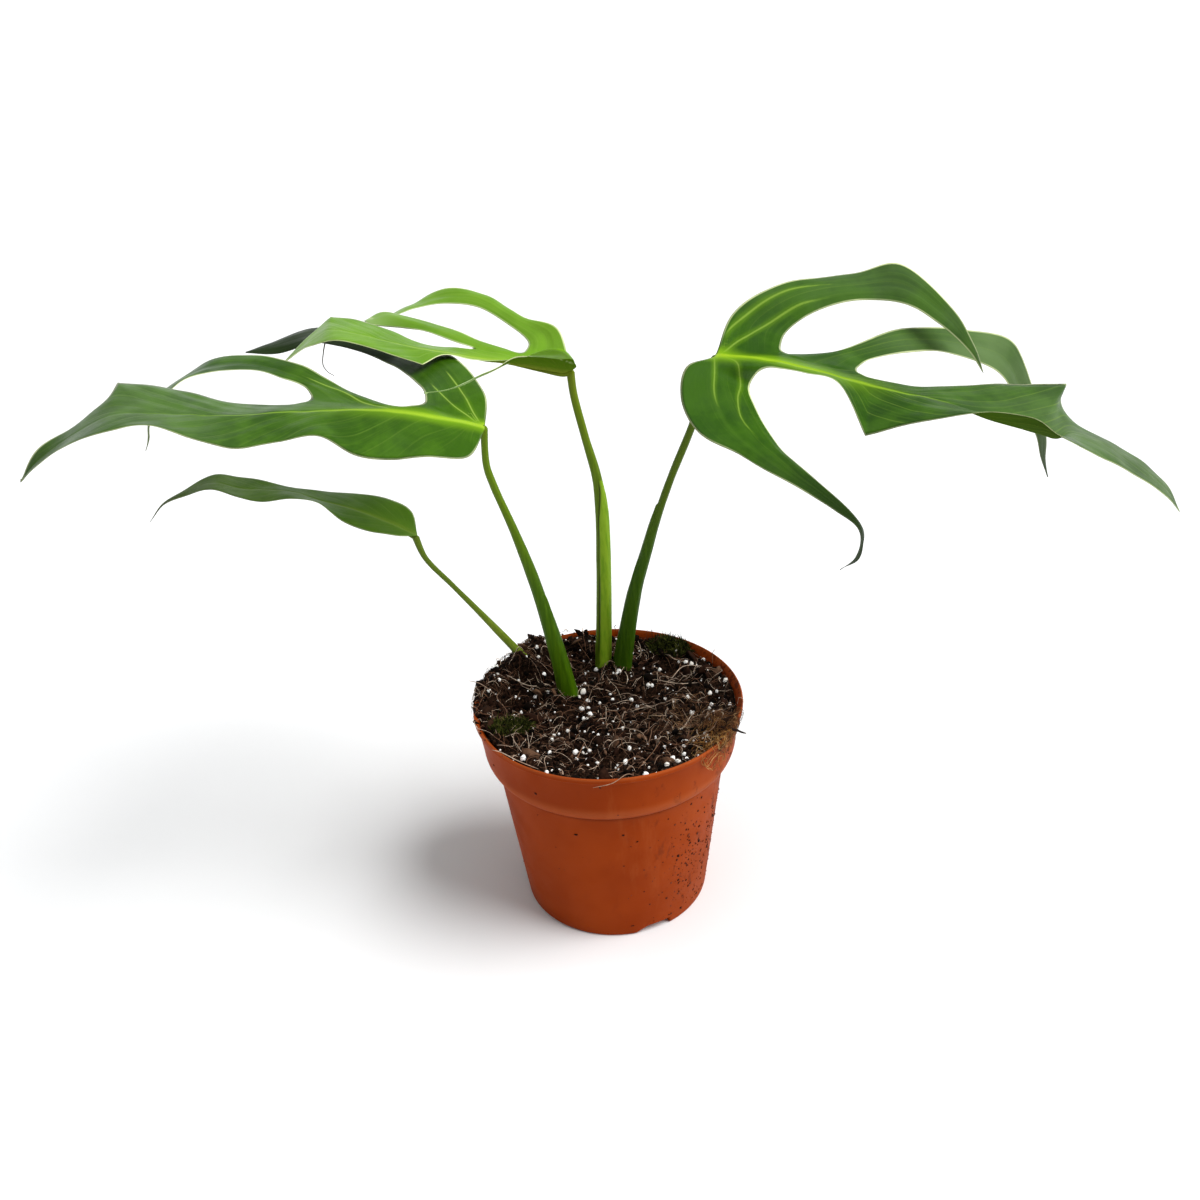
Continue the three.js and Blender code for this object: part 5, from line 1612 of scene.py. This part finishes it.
def rim_of(quads):
    """Edges of a sheet as pairs of point numbers, and which of them lie on its margin."""
    pairs = np.concatenate([quads[:, [a, (a + 1) % 4]] for a in range(4)])
    pairs = np.sort(pairs, axis=1)
    edges, uses = np.unique(pairs, axis=0, return_counts=True)
    return edges, uses == 1


def relaxed(points, edges, on_rim, weight, rounds=27):
    """Points eased toward the mean of their neighbours, each by its weight. Points of the
    margin follow only neighbours on the margin."""
    count = len(points)
    is_rim = np.zeros(count, bool)
    is_rim[edges[on_rim].ravel()] = True
    links = np.concatenate([edges, edges[:, ::-1]])
    both_ways = np.concatenate([on_rim, on_rim])
    links = links[both_ways | ~is_rim[links[:, 0]]]
    uses = np.maximum(np.bincount(links[:, 0], minlength=count), 1)
    points = points.copy()
    for _ in range(rounds):
        for axis in range(3):
            mean = np.bincount(links[:, 0], points[links[:, 1], axis], count) / uses
            points[:, axis] += (mean - points[:, axis]) * weight * 0.5
    return points, is_rim


def nearest_distance(points, targets, block=1500):
    """Distance from each point to the nearest target, worked out a block at a time."""
    result = np.empty(len(points))
    for start in range(0, len(points), block):
        part = points[start:start + block, None] - targets[None]
        result[start:start + block] = np.sqrt(np.min(np.sum(part * part, axis=-1), axis=1))
    return result


def beside_veins(points, routes):
    """Millimetres, seen from above, from each point to the nearest main vein of a lobe, and the
    same with a sign that tells the two sides of that vein apart. The first one gains up to
    1.8 toward the vein's end, so that the vein fades out there."""
    near, sided = np.full((2, len(points)), 99.0)
    rows = np.arange(len(points))
    for route in routes:
        path = smooth_route(np.array(route, float), 24)[:, :2]
        step = np.diff(path, axis=0)
        away = points[:, None, :2] / MM - path[None, :-1]
        share = np.clip(np.sum(away * step, axis=-1) / np.sum(step * step, axis=-1), 0, 1)
        distance = np.linalg.norm(away - share[..., None] * step, axis=-1)
        best = np.argmin(distance, axis=1)
        step, away, distance = step[best], away[rows, best], distance[rows, best]
        side = np.sign(step[:, 0] * away[:, 1] - step[:, 1] * away[:, 0])
        fading = 1.8 * ((best + 1) / len(share[0])) ** 4
        sided = np.where(distance + fading < near, distance * side, sided)
        near = np.minimum(near, distance + fading)
    return near, sided


def make_blade(name, settings):
    """A leaf blade: an upper and a lower skin that meet at the margin.

    Both skins lie off the middle surface along its normal, by half the thickness, which
    thins out to the margin. Between side veins the blade swells by sin^2, the midrib is a
    groove above and a keel below, and low waves run along the margin.
    """
    blade, slot = BLADES[name]
    points, quads, values, corners = blade_surface(blade)
    edges, on_rim = rim_of(quads)
    weight = np.zeros(len(points))
    for corner in corners:
        weight = np.maximum(weight, bell(np.linalg.norm(points - corner, axis=1), 0.0027))
    points, is_rim = relaxed(points, edges, on_rim, weight)
    normals = point_normals(points, quads)
    if normals[:, 2].sum() < 0:
        quads, normals = quads[:, ::-1], -normals
    from_edge = nearest_distance(points, points[is_rim])
    values["from_edge"] = from_edge / MM
    values["vein_near"], values["vein_side"] = beside_veins(points, LOBE_VEINS.get(name, []))

    along, midrib_distance = values["along"], values["from_midrib"] * MM
    inside = smooth_step(from_edge, 0, 0.004)
    swell = np.sin(math.pi * values["fan"]) ** 2 * smooth_step(values["spacing"], 3, 9)
    shift = settings.swell * swell * inside * smooth_step(midrib_distance, 0.0005, 0.004)
    shift += settings.waviness * rough(points, 0.011, 7) * bell(from_edge, 0.006)
    shift += 0.00025 * rough(points, 0.006, 8) * inside
    half = settings.thickness / 2 * (0.25 + 0.75 * smooth_step(from_edge, 0, 0.0016))
    strong = 0.3 + 0.7 * smooth_step(along, 0.8, 0)
    groove = settings.groove * strong * bell(midrib_distance, 0.0008) * inside
    keel = settings.keel * strong * bell(midrib_distance, 0.0011) * inside
    rise = np.where(is_rim, 0, half)[:, None]
    upper = points + normals * (shift[:, None] + rise - groove[:, None])
    lower = points + normals * (shift[:, None] - rise - keel[:, None])
    inner = ~is_rim
    lower_index = np.where(inner, len(points) + np.cumsum(inner) - 1, np.arange(len(points)))
    skins = np.concatenate([upper, lower[inner]])
    faces = np.concatenate([quads, lower_index[quads][:, ::-1]])
    values = {key: np.concatenate([value, value[inner]]) for key, value in values.items()}
    materials = [leaf_material(f"leaf_{name}_top", LEAF_LOOKS[name]),
                 leaf_material(f"leaf_{name}_under", under_look(LEAF_LOOKS[name]))]
    leaf = piece(f"blade_{name}_leaf", skins, faces, materials, values,
                 np.repeat([0, 1], len(quads)))
    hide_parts(f"blade_{name}")


def make_thread():
    """A thin dry thread that hangs from the middle blade's lower side and curls at its end."""
    route = metres([[-110, 50, 257], [-112, 50, 251], [-112.9, 50, 245.7], [-111.3, 50, 242.5],
                    [-108.9, 50, 240.7]])
    steps = 40
    radii = np.linspace(0.00028, 0.00012, steps)
    shape = tubes(smooth_route(route, steps)[None], radii[None], 8)
    loose_bits("blade_middle_thread", shape, [0.5], "leaf_lime", "thread",
               [paint(44, 40, 26), paint(78, 70, 48)])


# Colours of the leaves and stalks

# What the blades share. `edge` is the margin's line and `tail` the colour of an end, dark
# but on the middle blade. The third colour is a painted sheen, a pale coat that stands for
# glossy reflections.
LEAF_LOOK = {
    **painted(edge=(222, 232, 172), tail=(24, 38, 10), wax=(106, 132, 82)),
    "edge_strength": 0.9, "gloss": 0.32, "shine": 0.26, "lobe_veins": 0.85, "spread": 1.0,
    "vein_relief": -0.5,
}

LEAF_LOOKS = {
    "left": {
        **LEAF_LOOK, "vein_strength": 0.11,
        **painted(flesh=(62, 102, 10), shade=(42, 78, 4), light=(84, 122, 30), base=(58, 100, 6),
                  vein=(142, 172, 70), midrib=(154, 190, 40), midrib_tip=(96, 134, 34),
                  glow=(108, 152, 14)),
    },
    "middle": {
        **LEAF_LOOK, "vein_strength": 0.3, "edge_strength": 1.0,
        **painted(flesh=(106, 152, 32), shade=(94, 140, 24), light=(130, 172, 56),
                  base=(118, 166, 30), vein=(150, 184, 78), midrib=(158, 190, 64),
                  midrib_tip=(134, 172, 62), glow=(130, 174, 40), tail=(164, 192, 126)),
    },
    "right": {
        **LEAF_LOOK, "vein_strength": 0.25, "edge_strength": 1.0, "lobe_veins": 0.6, "spread": 1.4,
        **painted(flesh=(58, 98, 9), shade=(36, 72, 4), light=(82, 120, 32), base=(46, 88, 4),
                  vein=(138, 170, 64), midrib=(154, 190, 30), midrib_tip=(100, 138, 36),
                  glow=(122, 168, 10)),
    },
    "small": {
        **LEAF_LOOK, "vein_strength": 0.2, "edge_strength": 0.4, "gloss": 0.4, "shine": 0.18,
        **painted(flesh=(76, 110, 24), shade=(62, 96, 16), light=(94, 126, 44),
                  base=(72, 108, 20), vein=(112, 140, 60), midrib=(98, 126, 40),
                  midrib_tip=(94, 120, 40), glow=(78, 112, 24), tail=(40, 38, 16)),
    },
}


def under_look(look):
    """The lower side of the same leaf: yellower and duller, with veins that stand out."""
    olive = paint(48, 66, 8)
    soft = {key: tuple(0.3 * own + 0.7 * mixed for own, mixed in zip(look[key], olive))
            for key in ("flesh", "shade", "light", "base", "glow", "wax")}
    return {
        **look, **soft,
        **painted(midrib=(112, 128, 38), midrib_tip=(92, 108, 34), vein=(96, 112, 40)),
        "vein_strength": 0.45, "lobe_veins": 0.3, "vein_relief": 0.9, "shine": 0.0, "gloss": 0.5,
    }


STALK_LOOK = painted(sheath=(146, 184, 40), sheath_streak=(120, 164, 26), mark=(34, 30, 14))

# `turn` is the share of the way up where the colour of the upper end begins.
STALK_LOOKS = {
    "left": {
        **STALK_LOOK, "turn": 0.3,
        **painted(low=(60, 94, 2), streak=(76, 110, 6), high=(92, 118, 10)),
    },
    "middle": {
        **STALK_LOOK, "turn": 0.55,
        **painted(low=(88, 114, 14), streak=(104, 130, 22), high=(96, 112, 16)),
    },
    "right": {
        **STALK_LOOK, "turn": 0.3,
        **painted(low=(52, 86, 6), streak=(66, 98, 12), high=(80, 102, 16)),
    },
    "small": {
        **STALK_LOOK, "turn": 0.3,
        **painted(low=(122, 140, 42), streak=(106, 128, 34), high=(94, 114, 36)),
    },
}

BLADES = {
    "left": (LEFT_BLADE, "leaf_dark"),
    "middle": (MIDDLE_BLADE, "leaf_lime"),
    "right": (RIGHT_BLADE, "leaf_dark"),
    "small": (SMALL_BLADE, "leaf_dark"),
}


# Stage

def make_floor(settings):
    """A flat round floor at the pot's foot."""
    ring = round_axis(settings.floor_radius, bearings(96), 0)
    mesh = bpy.data.meshes.new("studio_floor")
    mesh.from_pydata(ring.tolist(), [], [list(range(len(ring)))])
    mesh.materials.append(floor_material(settings))
    floor = bpy.data.objects.new("studio_floor", mesh)
    bpy.context.scene.collection.objects.link(floor)


def turned_to(right, up, forward, place):
    """The matrix of a lamp or a camera at a place, which looks forward."""
    axes = np.array([right, up, -forward]).T
    return Matrix([[*row, at] for row, at in zip(axes, place)] + [[0, 0, 0, 1]])


def make_light(settings):
    """The main light, wide and soft, from the upper right. Only the sky gives the sheen, so the
    light itself isn't mirrored in glossy skins."""
    light = bpy.data.lights.new("key", "SUN")
    light.energy = settings.key
    light.angle = settings.key_softness
    lamp = bpy.data.objects.new("key", light)
    lamp.visible_glossy = False
    bpy.context.scene.collection.objects.link(lamp)
    forward = unit(np.array(KEY_DIRECTION))
    side = unit(np.cross(forward, [0, 0, 1.0]))
    place = np.array([0, 0, 0.15]) - forward * 2.0
    lamp.matrix_world = turned_to(side, np.cross(side, forward), forward, place)


def make_sky(settings):
    """Light from all round: even, with a bright patch overhead and a bright backdrop behind."""
    world = bpy.data.worlds.new("studio")
    world.use_nodes = True
    shader = SkyShader(world)
    across, back, up = (shader.part(axis) for axis in range(3))
    overhead = shader.step(up, 0.8, 0.99, settings.sky, settings.overhead)
    behind = shader.times(shader.step(up, 0.25, 0.6, settings.backdrop, 0.0),
                          shader.step(back, -0.1, 0.5), shader.fall(across, -0.5, 0.4, 0.6))
    background = world.node_tree.nodes["Background"]
    background.inputs["Color"].default_value = (0.965, 0.985, 1.0, 1.0)
    shader.put(shader.plus(overhead, behind), background.inputs["Strength"])
    bpy.context.scene.world = world


def make_camera(settings):
    """The photograph's view."""
    forward = np.array([math.sin(CAMERA_PAN) * math.cos(CAMERA_TILT),
                        math.cos(CAMERA_PAN) * math.cos(CAMERA_TILT), -math.sin(CAMERA_TILT)])
    level = unit(np.cross(forward, [0, 0, 1.0]))
    upright = np.cross(level, forward)
    right = level * math.cos(CAMERA_ROLL) + upright * math.sin(CAMERA_ROLL)
    up = upright * math.cos(CAMERA_ROLL) - level * math.sin(CAMERA_ROLL)
    lens = bpy.data.cameras.new("camera")
    lens.lens = settings.lens
    lens.sensor_width = 36.0
    lens.clip_start, lens.clip_end = 0.01, 60.0
    camera = bpy.data.objects.new("camera", lens)
    bpy.context.scene.collection.objects.link(camera)
    camera.matrix_world = turned_to(right, up, forward, CAMERA_PLACE)
    bpy.context.scene.camera = camera


# Operators

class PLANT_OT_stage(bpy.types.Operator):
    """Make the floor, the light and the camera"""

    bl_idname = "plant.stage"
    bl_label = "Stage"

    def execute(self, context):
        settings = context.scene.plant_stage
        context.scene.view_settings.view_transform = "Standard"
        make_camera(settings)
        make_floor(settings)
        make_sky(settings)
        make_light(settings)
        return {"FINISHED"}


class PLANT_OT_pot(bpy.types.Operator):
    """Make the pot and the dried splashes on it"""

    bl_idname = "plant.pot"
    bl_label = "Pot"

    def execute(self, context):
        make_pot(context.scene.plant_pot)
        make_splashes(context.scene.plant_pot)
        return {"FINISHED"}


class PLANT_OT_mix(bpy.types.Operator):
    """Make the potting mix, its crumbs, chips, white grains and fibres"""

    bl_idname = "plant.mix"
    bl_label = "Potting mix"

    def execute(self, context):
        settings = context.scene.plant_mix
        make_mix(settings)
        make_crumbs(settings)
        make_perlite(settings)
        make_fibres(settings)
        make_long_fibres()
        return {"FINISHED"}


class PLANT_OT_dressings(bpy.types.Operator):
    """Make the moss cushions, the coir tuft and the splinter in it"""

    bl_idname = "plant.dressings"
    bl_label = "Moss and coir"

    def execute(self, context):
        make_moss("moss_front", (-0.043, -0.015), (0.0095, 0.0065, 0.003), 0.5, 41)
        make_moss("moss_back", (0.031, 0.044), (0.0105, 0.006, 0.003), -0.5, 43)
        make_coir_tuft()
        make_splinter()
        return {"FINISHED"}


class PLANT_OT_stalks(bpy.types.Operator):
    """Make the four petioles and the keels above them, and finish the buried stem"""

    bl_idname = "plant.stalks"
    bl_label = "Stalks"

    def execute(self, context):
        for name in BLADES:
            make_petiole(name, STALK_LOOKS[name])
            make_keel(name, STALK_LOOKS[name])
        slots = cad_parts["rhizome"].data.materials
        slots.clear()
        slots.append(cork_material())
        return {"FINISHED"}


class PLANT_OT_blades(bpy.types.Operator):
    """Make the four leaf blades and the dry thread under the middle one"""

    bl_idname = "plant.blades"
    bl_label = "Leaf blades"

    def execute(self, context):
        for name in BLADES:
            make_blade(name, context.scene.plant_leaf)
        make_thread()
        return {"FINISHED"}


class PLANT_PT_panel(bpy.types.Panel):
    """Lists the plant's settings and pieces"""

    bl_label = "Potted plant"
    bl_idname = "PLANT_PT_panel"
    bl_space_type = "VIEW_3D"
    bl_region_type = "UI"
    bl_category = "Plant"

    def draw(self, context):
        for key in GROUPS:
            box = self.layout.box()
            settings = getattr(context.scene, key)
            for name in settings.bl_rna.properties.keys():
                if name not in ("rna_type", "name"):
                    box.prop(settings, name)
        for operator in OPERATORS:
            self.layout.operator(operator.bl_idname)


GROUPS = {
    "plant_pot": PotSettings,
    "plant_mix": MixSettings,
    "plant_leaf": LeafSettings,
    "plant_stage": StageSettings,
}
OPERATORS = (PLANT_OT_stage, PLANT_OT_pot, PLANT_OT_mix, PLANT_OT_dressings, PLANT_OT_stalks,
             PLANT_OT_blades)


def register():
    for kind in (*GROUPS.values(), *OPERATORS, PLANT_PT_panel):
        bpy.utils.register_class(kind)
    for key, group in GROUPS.items():
        setattr(bpy.types.Scene, key, bpy.props.PointerProperty(type=group))


def unregister():
    for key in GROUPS:
        delattr(bpy.types.Scene, key)
    for kind in (PLANT_PT_panel, *OPERATORS[::-1], *list(GROUPS.values())[::-1]):
        bpy.utils.unregister_class(kind)


def main():
    """Makes every piece in order."""
    register()
    for operator in OPERATORS:
        getattr(bpy.ops.plant, operator.bl_idname.removeprefix("plant."))()
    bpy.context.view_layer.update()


if __name__ == "__main__":
    main()
